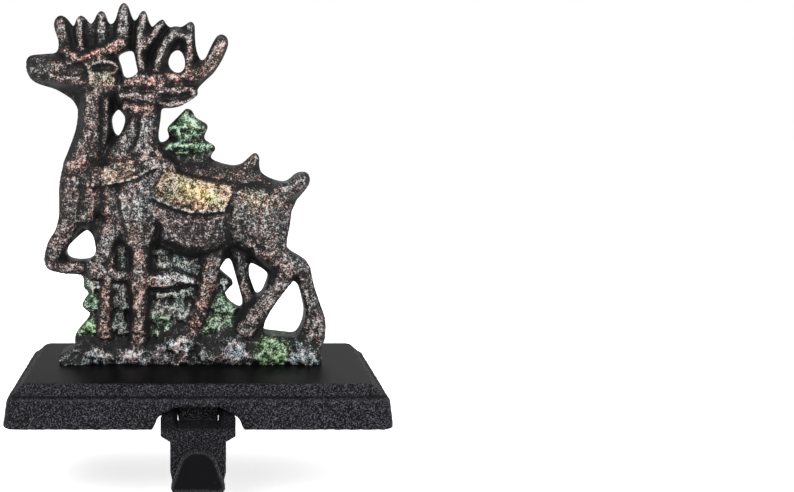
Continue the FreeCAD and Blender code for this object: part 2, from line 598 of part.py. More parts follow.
def far_deer():
    """The deer behind: head, neck, chest, body, legs and tail."""
    return [
        form([(-71.3, 129, 3.7), (-68.5, 128.7, 5.5), (-63.5, 127.5, 7), (-57.5, 126.5, 8), (-50, 125.5, 9.5),
              (-43, 124.5, 10), (-37, 125, 7.5)], (8, 11.5), "s"),
        form(FAR_NECK, (10.5, 12)),
        form([(-51.5, 76, 8), (-55.5, 66, 5.5), (-58.5, 58, 4.5), (-62, 51, 4), (-65, 45, 3)], (12, 10), "e"),
        form([(-65.5, 43.6, 2.6), (-60, 42.3, 2.6), (-52, 42, 2.7), (-45, 41.5, 3)], (9.5, 8), "s"),
        form([(-48, 78, 10), (-47.5, 68, 8), (-47, 63, 5.5)], (11, 9), "e"),
        form([(-46, 80, 9), (-20, 80, 9), (5, 78, 8), (20, 76.5, 9), (29, 73, 8)], 9),
        form([(-39.5, 62, 5), (-39.5, 40, 2.5), (-40.5, 30, 2.3), (-41.3, 18, 2.5), (-41.6, 11, 3.8),
              (-41.8, 6, 4)], (10, 11), "e"),
        form([(6.5, 52, 4.5), (5.5, 41, 3.3), (3.5, 32, 3.2), (0.5, 23, 3.2), (-1.8, 16.5, 3.5),
              (-3.5, 11, 4.3)], (12, 12.5), "e"),
        form([(17.5, 52, 4), (19.5, 39, 2.7), (21, 30, 2.6), (23.5, 21, 3)], (7, 8)),
        form([(16, 80.5, 4.5), (21, 85, 3.4), (25.2, 91, 1.2)], (8.5, 7), "e"),
    ]


def near_deer():
    """The deer in front: head, jaw, neck, shoulder, barrel, rump, legs and tail."""
    return [
        form([(-33.5, 118.5, 3), (-30, 118.5, 4.5), (-25, 118.7, 6.3), (-20, 119, 7.8), (-16.5, 119.3, 7.5)],
             (12, 14.5), "s"),
        form([(-31, 112.5, 2), (-26, 111.2, 3.4), (-20.5, 110.5, 4.6)], (11, 13), "s"),
        form(NEAR_NECK, (12.5, 15)),
        form([(-26, 80, 8), (-25.5, 70, 9.6), (-25.5, 60, 7), (-25.8, 54, 5)], 16.3, "s"),
        form(NEAR_BARREL, 16),
        form([(13, 66.5, 12), (20, 65.5, 15.5), (26, 64, 16), (30.5, 63, 14), (33.5, 62, 9.5)], 16.3, "e"),
        form([(26, 60, 12), (32, 51.5, 8), (37.5, 45.5, 5), (42.5, 43, 3.6)], (15.5, 13)),
        form([(41, 44, 3.9), (36, 35.8, 3.3), (30, 27.8, 3.4), (24, 20, 3.6), (20.3, 13.5, 4.4)], (14, 14), "e"),
        form([(40, 44.5, 4), (46, 41.8, 3.6), (48.4, 32, 3.3), (50.8, 22, 3.8), (51.3, 16, 4.7),
              (50, 11, 5.3)], (13, 13), "e"),
        form([(34, 74, 3.8), (41, 77.6, 3.3), (45.7, 81, 2.8)], (14, 11), "e"),
        form([(-29, 72, 8), (-36.5, 62, 4.5), (-40.5, 52, 3.5), (-45, 42, 3.9)], (13.5, 12.5), "e"),
        form([(-45.5, 40, 3.2), (-40, 39.5, 2.5), (-30, 38.5, 2.4), (-21, 37, 2.9), (-14.5, 36.7, 3),
              (-8.5, 37, 2), (-3.2, 36, 0.6)], (12.5, 11), "s"),
        form([(-25.8, 60, 6.5), (-25.8, 48, 3.8), (-25.8, 41, 4.2), (-26.3, 29, 3.2), (-26.8, 17, 3.7),
              (-27.2, 11, 4.6), (-27.5, 7.5, 4.5)], (15, 14), "e"),
    ]


def antlers():
    """Both pairs of antlers: beams and tines."""
    far = [
        form([(-57, 135, 2.2), (-50.5, 131.5, 2.4), (-42, 134.3, 2.4), (-32.5, 138, 2.8)], 8.5, "s"),
        form([(-56, 133, 3.4), (-57.5, 142, 3), (-58.4, 147.2, 2.7)], (8, 6.5), "e"),
        form([(-48.5, 132, 2.3), (-49.3, 141, 1.9), (-49.9, 149, 1.1)], (8, 6), "e"),
        form([(-41, 134, 2), (-41, 145, 1.9), (-41, 151.4, 0.9)], (6.5, 5.5), "e"),
        form([(-32.3, 137, 3), (-31.8, 146, 2.6), (-31.5, 154.8, 1.3)], (8.5, 6.5), "e"),
    ]
    near = [
        form([(-22, 124, 3.2), (-14, 123.5, 3), (-5.5, 123.7, 3), (2, 127, 3), (7, 133, 3), (9.7, 139.2, 2.8)],
             (13, 10), "e"),
        form([(-22, 124, 2.4), (-24.7, 134, 2), (-24.5, 142, 2), (-23.2, 150.8, 1.4)], (12, 7.5), "e"),
        form([(-20.8, 132, 2), (-18.3, 140, 2), (-15.4, 147.3, 1.2)], (9, 7), "e"),
        form([(-20.5, 124, 2.8), (-16.2, 133.2, 2.2), (-13.2, 139.5, 2), (-9.2, 143.2, 2)], (12.5, 9), "e"),
        form([(-3.4, 124.5, 2.3), (-3.4, 136, 2), (-3.5, 146, 1.5)], (10.5, 7.5), "e"),
    ]
    return far + near


def ears():
    """The two ears, each with the hollow that is cut out of it afterwards."""
    solids = [
        form([(-17, 115.5, 3.2), (-12, 116.2, 4.7), (-6, 117, 4.2), (-0.8, 117.8, 1.4)], (14, 11), "e"),
        form([(-46, 127, 2.4), (-41, 128.4, 3.4), (-36, 128.2, 3.1), (-33, 127, 1.8)], (12.5, 11), "e"),
    ]
    hollows = [
        ear_hollow([(-15, 115.2, 1), (-9.5, 115.7, 2.3), (-3.5, 117, 0.7)], 13.5),
        ear_hollow([(-44, 128.1, 0.6), (-39.5, 128.8, 1.5), (-35.5, 128.2, 0.6)], 12.5),
    ]
    return solids, hollows


def ear_hollow(stations, proud):
    """A leaf-shaped hollow as deep as an ear's flesh allows, open to the front."""
    depth = EAR_DEPTH * PROUD_SCALE
    upper = [(across * SCALE, (up + half) * SCALE) for across, up, half in stations]
    lower = [(across * SCALE, (up - half) * SCALE) for across, up, half in stations[::-1]]
    level = -(proud * PROUD_SCALE - depth)
    places = [Vector(across, level, up) for across, up in upper + lower]
    return Part.Face(Part.makePolygon(places + places[:1])).extrude(Vector(0, -2 * depth, 0))


def trees():
    """Fir trees: each tier is a form that widens downward to its ragged edge and draws in below it."""
    plans = [
        (-4.7, 9.5, [(111.3, 0.5), (102.6, 8.6), (98.2, 6.6), (95.3, 11.8), (91, 9.6), (86, 13), (76, 13)]),
        (-40, 8.5, [(39, 9.2), (35.2, 10.2), (32.2, 7.4), (25.6, 11), (22.2, 7.4), (13.5, 14), (9, 12), (3, 14)]),
        (-13, 9.5, [(52, 12), (43, 13), (39, 10), (30, 14), (26, 10), (15, 15), (3, 15)]),
        (5, 8.8, [(50, 4.5), (41, 5.5), (35.3, 10.7), (31, 6.6), (22.5, 14), (19, 12), (11, 20), (3, 22)]),
    ]
    return [form([(across, up, half) for up, half in tiers], (proud * 0.85, proud))
            for across, proud, tiers in plans]


def harness():
    """The saddle blanket and the collars, each the form that it lies on grown by its thickness."""
    blanket = slab([(-14.3, 85.7), (0.8, 81.6), (15.2, 79.2), (13.4, 73), (10.4, 67), (3, 66.4), (-3.5, 66),
                    (-8.7, 68), (-14.3, 70.3), (-20, 72.7), (-17.3, 80.5)], 2 * DRAWN_RELIEF)
    barrel = form(NEAR_BARREL, 16, grow=size("blanket_thickness"))
    near_band = slab([(-46, 77.3), (-34.6, 79), (-25.1, 81.8), (-16.4, 86.4), (-16.2, 88.8), (-20.7, 91),
                      (-33.6, 88.4), (-46, 86)], 2 * DRAWN_RELIEF)
    near_neck = form(NEAR_NECK, (12.5, 15), grow=size("collar_thickness"))
    far_band = slab([(-61, 84), (-46, 85.6), (-46, 89.2), (-61, 87.6)], 2 * DRAWN_RELIEF)
    far_neck = form(FAR_NECK, (10.5, 12), grow=size("collar_thickness") / 2)
    return [barrel.common(blanket), near_neck.common(near_band), far_neck.common(far_band)]


def rock(across, up, radius, proud):
    """An angular boulder: seven-sided sections that shrink toward the front."""
    sides = 7
    wires = []
    for share, reach in ((1.0, 0.5), (0.92, 0.85), (0.45, 1.0)):
        places = []
        for corner in range(sides):
            angle = 2 * math.pi * (corner + 0.37 * across) / sides
            swell = 1.0 + 0.16 * math.cos(2.7 * corner + across)
            reach_out = radius * share * swell * SCALE
            places.append(Vector(across * SCALE + 1.25 * reach_out * math.cos(angle), -proud * reach * PROUD_SCALE,
                                 up * SCALE + reach_out * math.sin(angle)))
        wires.append(Part.makePolygon(places + places[:1]))
    return Part.makeLoft(wires, True, True)


def ground():
    """The mound that the deer stand on, with boulders along its front."""
    mound = form([(-60.5, 0, 4.2), (-52, 0, 6.5), (-43, 0, 7.4), (-21, 0, 7.8), (-3, 0, 9), (18, 0, 8.8),
                  (28, 0, 10.5), (45, 0, 9.5), (53, 0, 7.2)], 14.5)
    boulders = [rock(*row) for row in (
        (-53.4, 3.6, 3.2, 13.5), (-44, 4.6, 4, 15.5), (-35.5, 3.2, 2.8, 14.5), (-28, 4.2, 4, 15.8),
        (-18, 4.4, 3.4, 15), (-7, 8, 4.8, 15.5), (4, 3.8, 3.4, 15), (15.3, 6.2, 5.2, 15.8), (25, 4, 3.2, 15),
        (33, 6, 6.6, 16), (46, 5.4, 5.2, 15.6))]
    return [mound] + boulders


def make_figure():
    """The figure: all forms fused on a plate, kept inside the outline, with ear hollows, screw holes and flat faces."""
    ear_solids, ear_hollows = ears()
    forms = far_deer() + near_deer() + antlers() + ear_solids + trees() + harness() + ground()
    reach = 2 * size("figure_height")
    thickness = size("web_thickness")
    plate = Part.makeBox(reach, BEHIND + thickness, reach, Vector(-reach / 2, -thickness, -reach / 2))
    whole = plate.multiFuse(forms).common(outline_prism())
    cuts = ear_hollows
    for side in (-1, 1):
        hole = Part.makeCylinder(size("screw_diameter") / 2 + size("thread_clearance"),
                                 size("screw_grip") + size("tip_clearance"))
        hole.translate(Vector(-size("screw_middle") + side * size("screw_spacing") / 2, -size("screw_inset"), 0))
        cuts.append(hole)
    behind = Part.makeBox(reach, reach, reach, Vector(-reach / 2, 0, -reach / 2))
    below = Part.makeBox(reach, reach, reach, Vector(-reach / 2, -reach / 2, -reach))
    whole = whole.cut(cuts).cut(behind).cut(below).removeSplitter()
    figure = document.addObject("Part::Feature", "reindeer_figure")
    figure.Label = "reindeer_figure"
    figure.Shape = whole
    figure.Placement = Placement(Vector(0, size("figure_setback"), size("base_height")), Rotation())
    return figure


def make_screws():
    """The two like screws as one group."""
    group = document.addObject("Part::Compound", "figure_screws")
    group.Label = "figure_screws"
    group.Links = [make_screw("screw_left", "-"), make_screw("screw_right", "+")]
    return group


def export(pieces):
    """Checks every object and every piece, then writes one file a piece."""
    document.recompute()
    for item in document.Objects:
        if "Invalid" in item.State or "Error" in item.State:
            raise ValueError("%s is not valid: %s" % (item.Label, item.State))
    os.makedirs("parts", exist_ok=True)
    for piece, solids in pieces:
        shape = piece.Shape
        if shape.isNull() or not shape.isValid() or len(shape.Solids) != solids:
            raise ValueError("%s is not %d valid solid" % (piece.Label, solids))
        shape.exportStep("parts/%s.step" % piece.Label)
        print(piece.Label, "volume", round(shape.Volume), "faces", len(shape.Faces))


export([
    (make_base_tray(), 1),
    (make_figure(), 1),
    (make_hook(), 1),
    (make_pin(), 1),
    (make_screws(), 2),
])
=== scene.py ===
"""The looks of a mantel stocking holder: two reindeer in painted relief on a black cast tray with a folding hook."""

import logging
import math
from dataclasses import dataclass, replace
from enum import Enum

import bpy
import numpy as np
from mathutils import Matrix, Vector
from mathutils.geometry import tessellate_polygon


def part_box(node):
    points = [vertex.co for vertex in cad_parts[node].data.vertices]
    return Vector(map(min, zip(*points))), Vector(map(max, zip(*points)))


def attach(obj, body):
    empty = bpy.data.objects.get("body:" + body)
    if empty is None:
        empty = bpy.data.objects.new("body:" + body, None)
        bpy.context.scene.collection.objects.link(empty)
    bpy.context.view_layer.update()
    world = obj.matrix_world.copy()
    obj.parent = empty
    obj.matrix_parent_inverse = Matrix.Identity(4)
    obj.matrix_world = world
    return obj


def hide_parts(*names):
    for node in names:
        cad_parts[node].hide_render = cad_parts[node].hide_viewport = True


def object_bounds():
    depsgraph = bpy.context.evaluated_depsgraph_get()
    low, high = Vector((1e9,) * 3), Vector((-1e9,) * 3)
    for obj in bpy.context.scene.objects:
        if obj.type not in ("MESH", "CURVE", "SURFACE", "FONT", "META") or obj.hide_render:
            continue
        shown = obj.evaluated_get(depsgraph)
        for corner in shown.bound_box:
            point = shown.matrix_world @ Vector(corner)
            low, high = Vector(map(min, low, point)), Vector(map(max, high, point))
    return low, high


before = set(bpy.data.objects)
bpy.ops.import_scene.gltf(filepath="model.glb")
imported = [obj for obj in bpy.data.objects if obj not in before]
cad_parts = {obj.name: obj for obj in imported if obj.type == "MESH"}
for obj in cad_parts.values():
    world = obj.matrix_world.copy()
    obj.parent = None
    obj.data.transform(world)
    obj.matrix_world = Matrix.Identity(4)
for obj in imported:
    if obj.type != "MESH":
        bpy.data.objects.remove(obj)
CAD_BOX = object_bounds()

log = logging.getLogger("stocking_holder")

MM = 0.001
# A full turn in radians, as the seeded waves and stones were drawn with it
TURN = 6.283
# A height so far behind the back that a form isn't there
NOWHERE = -99.0
Point = tuple[float, float]
Station = tuple[float, float, float]
Reach = tuple[float, float, float, float]
Path = tuple[Point, ...]
Colour = tuple[float, float, float]


class Body(Enum):
    """The two bodies that move against each other."""

    TRAY = "tray"
    HOOK = "hook"


class Profile(Enum):
    """The section that a carving tool leaves or raises."""

    ROUND = "round"
    KNIFE = "knife"


@dataclass(frozen=True)
class Pigment:
    """A dry-brushed colour: what it is on the crests, and how much of the ground it covers."""

    crest: Colour
    cover: float


def smooth_step(low: float, high: float, values: np.ndarray) -> np.ndarray:
    """Eases values from 0 at low to 1 at high.

    Args:
        low: Where the ease starts.
        high: Where the ease ends.
        values: What is eased.

    Returns:
        The eased values, from 0 to 1.
    """
    share = np.clip((values - low) / (high - low), 0.0, 1.0)
    return share * share * (3.0 - 2.0 * share)


def distance_to_path(places: np.ndarray, path: Path) -> np.ndarray:
    """Measures how far each place lies from an open path.

    Args:
        places: One row of two numbers for each place.
        path: The corners of the path, in the same units.

    Returns:
        The distance of each place.
    """
    corners = np.asarray(path, float)
    if len(corners) == 1:
        return np.linalg.norm(places - corners[0], axis=1)
    nearest = np.full(len(places), np.inf)
    for start, end in zip(corners[:-1], corners[1:]):
        run = end - start
        share = np.clip(((places - start) @ run) / max(float(run @ run), 1e-12), 0.0, 1.0)
        nearest = np.minimum(nearest, np.linalg.norm(places - start - share[:, None] * run, axis=1))
    return nearest


def depth_inside(places: np.ndarray, outline: Path) -> np.ndarray:
    """Measures how deep each place lies inside a closed outline.

    Args:
        places: One row of two numbers for each place.
        outline: The corners of the outline, in order.

    Returns:
        The distance to the outline, positive inside and negative outside.
    """
    corners = np.asarray(outline, float)
    inside = np.zeros(len(places), bool)
    for (x0, y0), (x1, y1) in zip(corners, np.roll(corners, -1, axis=0)):
        crosses = (places[:, 1] < y0) != (places[:, 1] < y1)
        if y1 != y0:
            inside ^= crosses & (places[:, 0] < x0 + (places[:, 1] - y0) * (x1 - x0) / (y1 - y0))
    edge = distance_to_path(places, tuple(outline) + (outline[0],))
    return np.where(inside, edge, -edge)


class Skin:
    """A fine closed mesh held as arrays, so that it can be softened, carved and painted.

    Args:
        name: The name of the piece.
        mesh: The mesh that the piece is made of.
    """

    def __init__(self, name: str, mesh: bpy.types.Mesh) -> None:
        self.name = name
        self.mesh = mesh
        self.points = np.zeros((len(mesh.vertices), 3))
        mesh.vertices.foreach_get("co", self.points.ravel())
        edges = np.zeros(len(mesh.edges) * 2, np.int64)
        mesh.edges.foreach_get("vertices", edges)
        self.near, self.far = edges.reshape(-1, 2).T
        near_links, far_links = (np.bincount(ends, minlength=len(self.points)) for ends in (self.near, self.far))
        self.links = np.maximum(near_links + far_links, 1)

    @classmethod
    def cast(cls, name: str, node: str, voxel: float) -> "Skin":
        """Casts a piece anew in small even faces.

        Args:
            name: The name of the new piece.
            node: The part that gives its form.
            voxel: The side of its faces, in metres.

        Returns:
            The new skin.
        """
        pattern = bpy.data.objects.new(name + "_pattern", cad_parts[node].data.copy())
        bpy.context.scene.collection.objects.link(pattern)
        grid = pattern.modifiers.new("even_faces", "REMESH")
        grid.mode = "VOXEL"
        grid.voxel_size = voxel
        mesh = evaluated_mesh(pattern, name)
        bpy.data.objects.remove(pattern)
        return cls(name, mesh)

    def averaged(self, values: np.ndarray, rounds: int, share: float = 0.5) -> np.ndarray:
        """Evens values out between neighbours.

        Args:
            values: One number, or one row of numbers, for each point.
            rounds: How many times they are evened out.
            share: How far each value goes to its neighbours' mean in a round.

        Returns:
            The evened values.
        """
        count = len(self.points)
        columns = values.reshape(count, -1).T.copy()
        for column in columns:
            for _ in range(rounds):
                total = np.bincount(self.near, column[self.far], count)
                total += np.bincount(self.far, column[self.near], count)
                column += share * (total / self.links - column)
        return columns.T.reshape(values.shape)

    def soften(self, rounds: int) -> None:
        """Rounds the facets off and keeps the size.

        Args:
            rounds: How many times the points move in and out again.
        """
        for _ in range(rounds):
            self.points = self.averaged(self.points, 1, 0.6)
            self.points = self.averaged(self.points, 1, -0.62)

    def sand_grain(self, seed: int, rounds: tuple[int, int]) -> tuple[np.ndarray, np.ndarray]:
        """Draws the unevenness that casting sand leaves.

        Args:
            seed: The seed of the draw.
            rounds: How many times the fine and the coarse part are evened out.

        Returns:
            The unevenness, with a spread of about one, and its coarse part alone.
        """
        draw = np.random.default_rng(seed)
        fine, coarse = (self.averaged(draw.normal(size=len(self.points)), count) for count in rounds)
        coarse = coarse / coarse.std()
        return fine / fine.std() * 0.5 + coarse * 0.6, coarse

    def normals(self) -> np.ndarray:
        """Returns the direction that the skin faces at each point."""
        self.write()
        normals = np.zeros((len(self.points), 3), np.float32)
        self.mesh.vertices.foreach_get("normal", normals.ravel())
        return normals.astype(float)

    def write(self) -> None:
        """Writes the points back to the mesh."""
        self.mesh.vertices.foreach_set("co", self.points.astype(np.float32).ravel())
        self.mesh.update()

    def store(self, name: str, values: np.ndarray) -> None:
        """Keeps values on the mesh for its finish to read.

        Args:
            name: The name that the finish asks for.
            values: One number, or one row of three, for each point.
        """
        if values.ndim == 1:
            layer = self.mesh.attributes.new(name, "FLOAT", "POINT")
            layer.data.foreach_set("value", values.astype(np.float32))
            return
        layer = self.mesh.attributes.new(name, "FLOAT_COLOR", "POINT")
        rows = np.ones((len(values), 4), np.float32)
        rows[:, :3] = values
        layer.data.foreach_set("color", rows.ravel())

    def piece(self, finish: bpy.types.Material, flat: float = math.inf) -> bpy.types.Object:
        """Turns the skin into an object.

        Args:
            finish: What it is painted with.
            flat: How far back, in metres, the points of its flat back lie.

        Returns:
            The object, in place.
        """
        self.write()
        self.mesh.materials.clear()
        self.mesh.materials.append(finish)
        self.mesh.shade_smooth()
        middles = np.zeros(len(self.mesh.polygons) * 3)
        self.mesh.polygons.foreach_get("center", middles)
        self.mesh.polygons.foreach_set("use_smooth", middles[1::3] < flat)
        made = bpy.data.objects.new(self.name, self.mesh)
        bpy.context.scene.collection.objects.link(made)
        self.mesh.calc_loop_triangles()
        log.info("%s: %d triangles", self.name, len(self.mesh.loop_triangles))
        return made


def evaluated_mesh(pattern: bpy.types.Object, name: str) -> bpy.types.Mesh:
    """Makes a mesh of an object with its modifiers applied.

    Args:
        pattern: The object.
        name: The name of the new mesh.

    Returns:
        The new mesh.
    """
    graph = bpy.context.evaluated_depsgraph_get()
    mesh = bpy.data.meshes.new_from_object(pattern.evaluated_get(graph))
    mesh.name = name
    return mesh


class Nodes:
    """Lays out the nodes of one material.

    Args:
        name: The name of the material.
    """

    # A mix node has sockets of one name for every kind of value, so those for colours go by number
    MIX_FIRST = 6
    MIX_SECOND = 7
    MIX_RESULT = 2

    def __init__(self, name: str) -> None:
        self.material = bpy.data.materials.new(name)
        self.material.use_nodes = True
        self.tree = self.material.node_tree
        self.shader = self.tree.nodes["Principled BSDF"]
        self.place = self.tree.nodes.new("ShaderNodeTexCoord").outputs["Object"]

    def link(self, source: bpy.types.NodeSocket, target: bpy.types.NodeSocket) -> None:
        """Links one socket to another."""
        self.tree.links.new(source, target)

    def feed(self, value: object, target: bpy.types.NodeSocket) -> None:
        """Links a socket to the target, or sets a plain value on it."""
        if isinstance(value, bpy.types.NodeSocket):
            self.link(value, target)
        elif isinstance(value, tuple):
            target.default_value = (*value, 1.0)
        else:
            target.default_value = value

    def noise(self, grain: float, detail: float = 2.0, rough: float = 0.5) -> bpy.types.NodeSocket:
        """Returns a noise from 0 to 1 with grains of that size in metres."""
        node = self.tree.nodes.new("ShaderNodeTexNoise")
        node.inputs["Scale"].default_value = 1.0 / grain
        node.inputs["Detail"].default_value = detail
        node.inputs["Roughness"].default_value = rough
        self.link(self.place, node.inputs["Vector"])
        return node.outputs["Fac"]

    def specks(self, grain: float) -> bpy.types.NodeSocket:
        """Returns the distance to the nearest of scattered points that lie about a grain apart."""
        node = self.tree.nodes.new("ShaderNodeTexVoronoi")
        node.inputs["Scale"].default_value = 1.0 / grain
        self.link(self.place, node.inputs["Vector"])
        return node.outputs["Distance"]

    def stored(self, name: str, colour: bool = False) -> bpy.types.NodeSocket:
        """Returns what a skin keeps under that name."""
        node = self.tree.nodes.new("ShaderNodeAttribute")
        node.attribute_name = name
        return node.outputs["Color" if colour else "Fac"]

    def sum(self, first: object, second: object, weight: float = 1.0) -> bpy.types.NodeSocket:
        """Returns first + second × weight."""
        node = self.tree.nodes.new("ShaderNodeMath")
        node.operation = "MULTIPLY_ADD"
        self.feed(second, node.inputs[0])
        node.inputs[1].default_value = weight
        self.feed(first, node.inputs[2])
        return node.outputs[0]

    def tinted(self, colour: bpy.types.NodeSocket, by: Colour) -> bpy.types.NodeSocket:
        """Returns a colour with its red, green and blue each times a factor."""
        node = self.tree.nodes.new("ShaderNodeVectorMath")
        node.operation = "MULTIPLY"
        self.link(colour, node.inputs[0])
        node.inputs[1].default_value = by
        return node.outputs[0]

    def product(self, first: object, second: object) -> bpy.types.NodeSocket:
        """Returns first × second."""
        node = self.tree.nodes.new("ShaderNodeMath")
        node.operation = "MULTIPLY"
        self.feed(first, node.inputs[0])
        self.feed(second, node.inputs[1])
        return node.outputs[0]

    def ramp(self, value: object, low: float, high: float, start: float = 0.0,
             end: float = 1.0) -> bpy.types.NodeSocket:
        """Returns the value eased from start at low to end at high."""
        node = self.tree.nodes.new("ShaderNodeMapRange")
        node.interpolation_type = "SMOOTHSTEP"
        self.feed(value, node.inputs["Value"])
        node.inputs["From Min"].default_value = low
        node.inputs["From Max"].default_value = high
        node.inputs["To Min"].default_value = start
        node.inputs["To Max"].default_value = end
        return node.outputs["Result"]

    def mix(self, share: object, first: object, second: object) -> bpy.types.NodeSocket:
        """Returns a colour between first and second."""
        node = self.tree.nodes.new("ShaderNodeMix")
        node.data_type = "RGBA"
        self.feed(share, node.inputs["Factor"])
        self.feed(first, node.inputs[self.MIX_FIRST])
        self.feed(second, node.inputs[self.MIX_SECOND])
        return node.outputs[self.MIX_RESULT]

    def bump(self, height: object, depth: float, strength: float) -> None:
        """Makes the surface uneven by a height, with its full depth in metres."""
        node = self.tree.nodes.new("ShaderNodeBump")
        node.inputs["Strength"].default_value = strength
        node.inputs["Distance"].default_value = depth
        self.feed(height, node.inputs["Height"])
        self.link(node.outputs["Normal"], self.shader.inputs["Normal"])


@dataclass(frozen=True)
class DryBrushedIron:
    """Black paint on rough iron, with colours brushed nearly dry over its crests."""

    ground: Colour = (0.0075, 0.0070, 0.0072)
    pale: Colour = (0.78, 0.75, 0.73)
    warmer: Colour = (1.30, 0.84, 0.74)
    colder: Colour = (0.82, 1.02, 1.12)
    brighter: Colour = (3.0, 3.0, 3.0)
    grain: float = 1.25 * MM
    fine_grain: float = 0.60 * MM
    patch_grain: float = 3.4 * MM
    hue_grain: float = 2.0 * MM
    weights: tuple[float, float, float] = (3.0, 4.0, 1.8)
    roughness: float = 0.58
    brushed_roughness: float = 0.50
    specular: float = 0.22
    bump: float = 0.35 * MM

    def material(self) -> bpy.types.Material:
        """Returns the finish of the two reindeer."""
        nodes = Nodes("dry_brushed_iron")
        coarse = nodes.noise(self.grain, 2.0, 0.6)
        fine = nodes.noise(self.fine_grain, 1.0)
        # The stored brush mask also carries painted light on slopes that face up and painted shade in hollows and on
        # steep flanks and sides
        touch = nodes.stored("brushed")
        for noise, weight in zip((coarse, fine, nodes.noise(self.patch_grain)), self.weights):
            touch = nodes.sum(touch, noise, weight)
        middle = 0.5 * sum(self.weights)
        hue = nodes.noise(self.hue_grain)
        pigment = nodes.stored("pigment", colour=True)
        pigment = nodes.mix(nodes.ramp(hue, 0.54, 0.68), pigment, nodes.tinted(pigment, self.warmer))
        pigment = nodes.mix(nodes.ramp(hue, 0.46, 0.34), pigment, nodes.tinted(pigment, self.colder))
        cover = nodes.ramp(touch, middle - 0.25, middle + 0.50)
        glint = nodes.ramp(touch, middle + 0.42, middle + 1.35)
        colour = nodes.mix(cover, self.ground, pigment)
        pale = nodes.mix(0.50, nodes.tinted(pigment, self.brighter), self.pale)
        nodes.link(nodes.mix(glint, colour, pale), nodes.shader.inputs["Base Color"])
        roughness = nodes.ramp(cover, 0.0, 1.0, self.roughness, self.brushed_roughness)
        nodes.link(roughness, nodes.shader.inputs["Roughness"])
        nodes.shader.inputs["Specular IOR Level"].default_value = self.specular
        nodes.bump(nodes.sum(coarse, fine), self.bump, 0.9)
        return nodes.material


@dataclass(frozen=True)
class SandCastBlack:
    """Black satin paint on iron as the sand left it, smooth where the piece was ground flat."""

    paint: Colour = (0.0052, 0.0052, 0.0062)
    smooth: Colour = (0.0024, 0.0024, 0.0030)
    # Colour of the painted highlight along the lit edges of the tray's ledge and the hook's toe
    painted_edge_highlight: Colour = (0.050, 0.050, 0.057)
    crest: Colour = (0.080, 0.079, 0.090)
    glint: Colour = (0.13, 0.13, 0.15)
    dust: Colour = (0.12, 0.12, 0.13)
    grain: float = 1.0 * MM
    fine_grain: float = 0.50 * MM
    glint_grain: float = 0.9 * MM
    dust_grain: float = 2.6 * MM
    dust_patch: float = 9.0 * MM
    smooth_roughness: float = 0.42
    rough_roughness: float = 0.60
    specular: float = 0.05
    bump: float = 0.3 * MM

    def material(self) -> bpy.types.Material:
        """Returns the finish of the tray and the hook."""
        nodes = Nodes("sand_cast_black")
        rough = nodes.stored("rough")
        height = nodes.sum(nodes.product(nodes.noise(self.grain, 2.0, 0.6), 0.7), nodes.noise(self.fine_grain, 1.0))
        crests = nodes.product(nodes.ramp(height, 0.84, 1.08), rough)
        glints = nodes.product(nodes.ramp(nodes.specks(self.glint_grain), 0.24, 0.08), rough)
        dusty = nodes.ramp(nodes.noise(self.dust_patch), 0.5, 0.7)
        dust = nodes.product(nodes.ramp(nodes.specks(self.dust_grain), 0.10, 0.05), dusty)
        colour = nodes.mix(rough, self.smooth, self.paint)
        # painted_edge_highlight is a painted highlight along lit edges; painted_shade darkens towards the smooth
        # black as painted shade along the ledge and on the hook's head
        for share, over in ((crests, self.crest), (nodes.product(glints, 0.35), self.glint),
                            (nodes.product(dust, 0.20), self.dust), (nodes.stored("painted_edge_highlight"), self.painted_edge_highlight),
                            (nodes.stored("painted_shade"), self.smooth)):
            colour = nodes.mix(share, colour, over)
        nodes.link(colour, nodes.shader.inputs["Base Color"])
        roughness = nodes.ramp(rough, 0.0, 1.0, self.smooth_roughness, self.rough_roughness)
        nodes.link(roughness, nodes.shader.inputs["Roughness"])
        nodes.shader.inputs["Specular IOR Level"].default_value = self.specular
        nodes.bump(nodes.product(height, nodes.ramp(rough, 0.0, 1.0, 0.12, 1.0)), self.bump, 0.9)
        return nodes.material


@dataclass(frozen=True)
class TurnedSteel:
    """Turned steel, plated or blackened, with fine turning marks and a few dull patches."""

    name: str = "plated_steel"
    colour: Colour = (0.42, 0.42, 0.44)
    dull: Colour = (0.27, 0.27, 0.28)
    mark_grain: float = 0.3 * MM
    patch_grain: float = 2.5 * MM

    def material(self) -> bpy.types.Material:
        """Returns the finish of a fastener."""
        nodes = Nodes(self.name)
        marks = nodes.noise(self.mark_grain, 3.0)
        patches = nodes.noise(self.patch_grain, 3.0)
        colour = nodes.mix(nodes.ramp(patches, 0.35, 0.7), self.colour, self.dull)
        nodes.link(colour, nodes.shader.inputs["Base Color"])
        nodes.link(nodes.ramp(patches, 0.3, 0.7, 0.32, 0.5), nodes.shader.inputs["Roughness"])
        nodes.shader.inputs["Metallic"].default_value = 1.0
        nodes.bump(marks, 0.03 * MM, 0.5)
        return nodes.material


class Pigments(Enum):
    """The colours on the brush."""

    IRON = Pigment((0.080, 0.070, 0.070), -0.10)
    BRONZE = Pigment((0.128, 0.096, 0.087), 0.06)
    PINK_SILVER = Pigment((0.142, 0.117, 0.110), 0.14)
    COPPER = Pigment((0.205, 0.098, 0.070), 0.12)
    BRASS = Pigment((0.215, 0.165, 0.105), 0.26)
    SILVER = Pigment((0.165, 0.158, 0.162), 0.26)
    SHADE_FIR = Pigment((0.110, 0.126, 0.112), 0.46)
    FIR = Pigment((0.075, 0.162, 0.085), 0.46)
    MOSS = Pigment((0.080, 0.172, 0.056), 0.50)
    GOLD = Pigment((0.250, 0.178, 0.088), 0.50)
    PALE_GOLD = Pigment((0.350, 0.270, 0.066), 0.76)
    SHADE_STONE = Pigment((0.110, 0.114, 0.114), -0.02)
    STONE = Pigment((0.210, 0.216, 0.226), 0.36)


class Layer(Enum):
    """What a place of the relief belongs to, from the back to the front."""

    PLATE = 0
    TREE = 1
    FAR_ANTLER = 2
    FAR_DEER = 3
    NEAR_ANTLER = 4
    NEAR_DEER = 5
    GROUND = 6


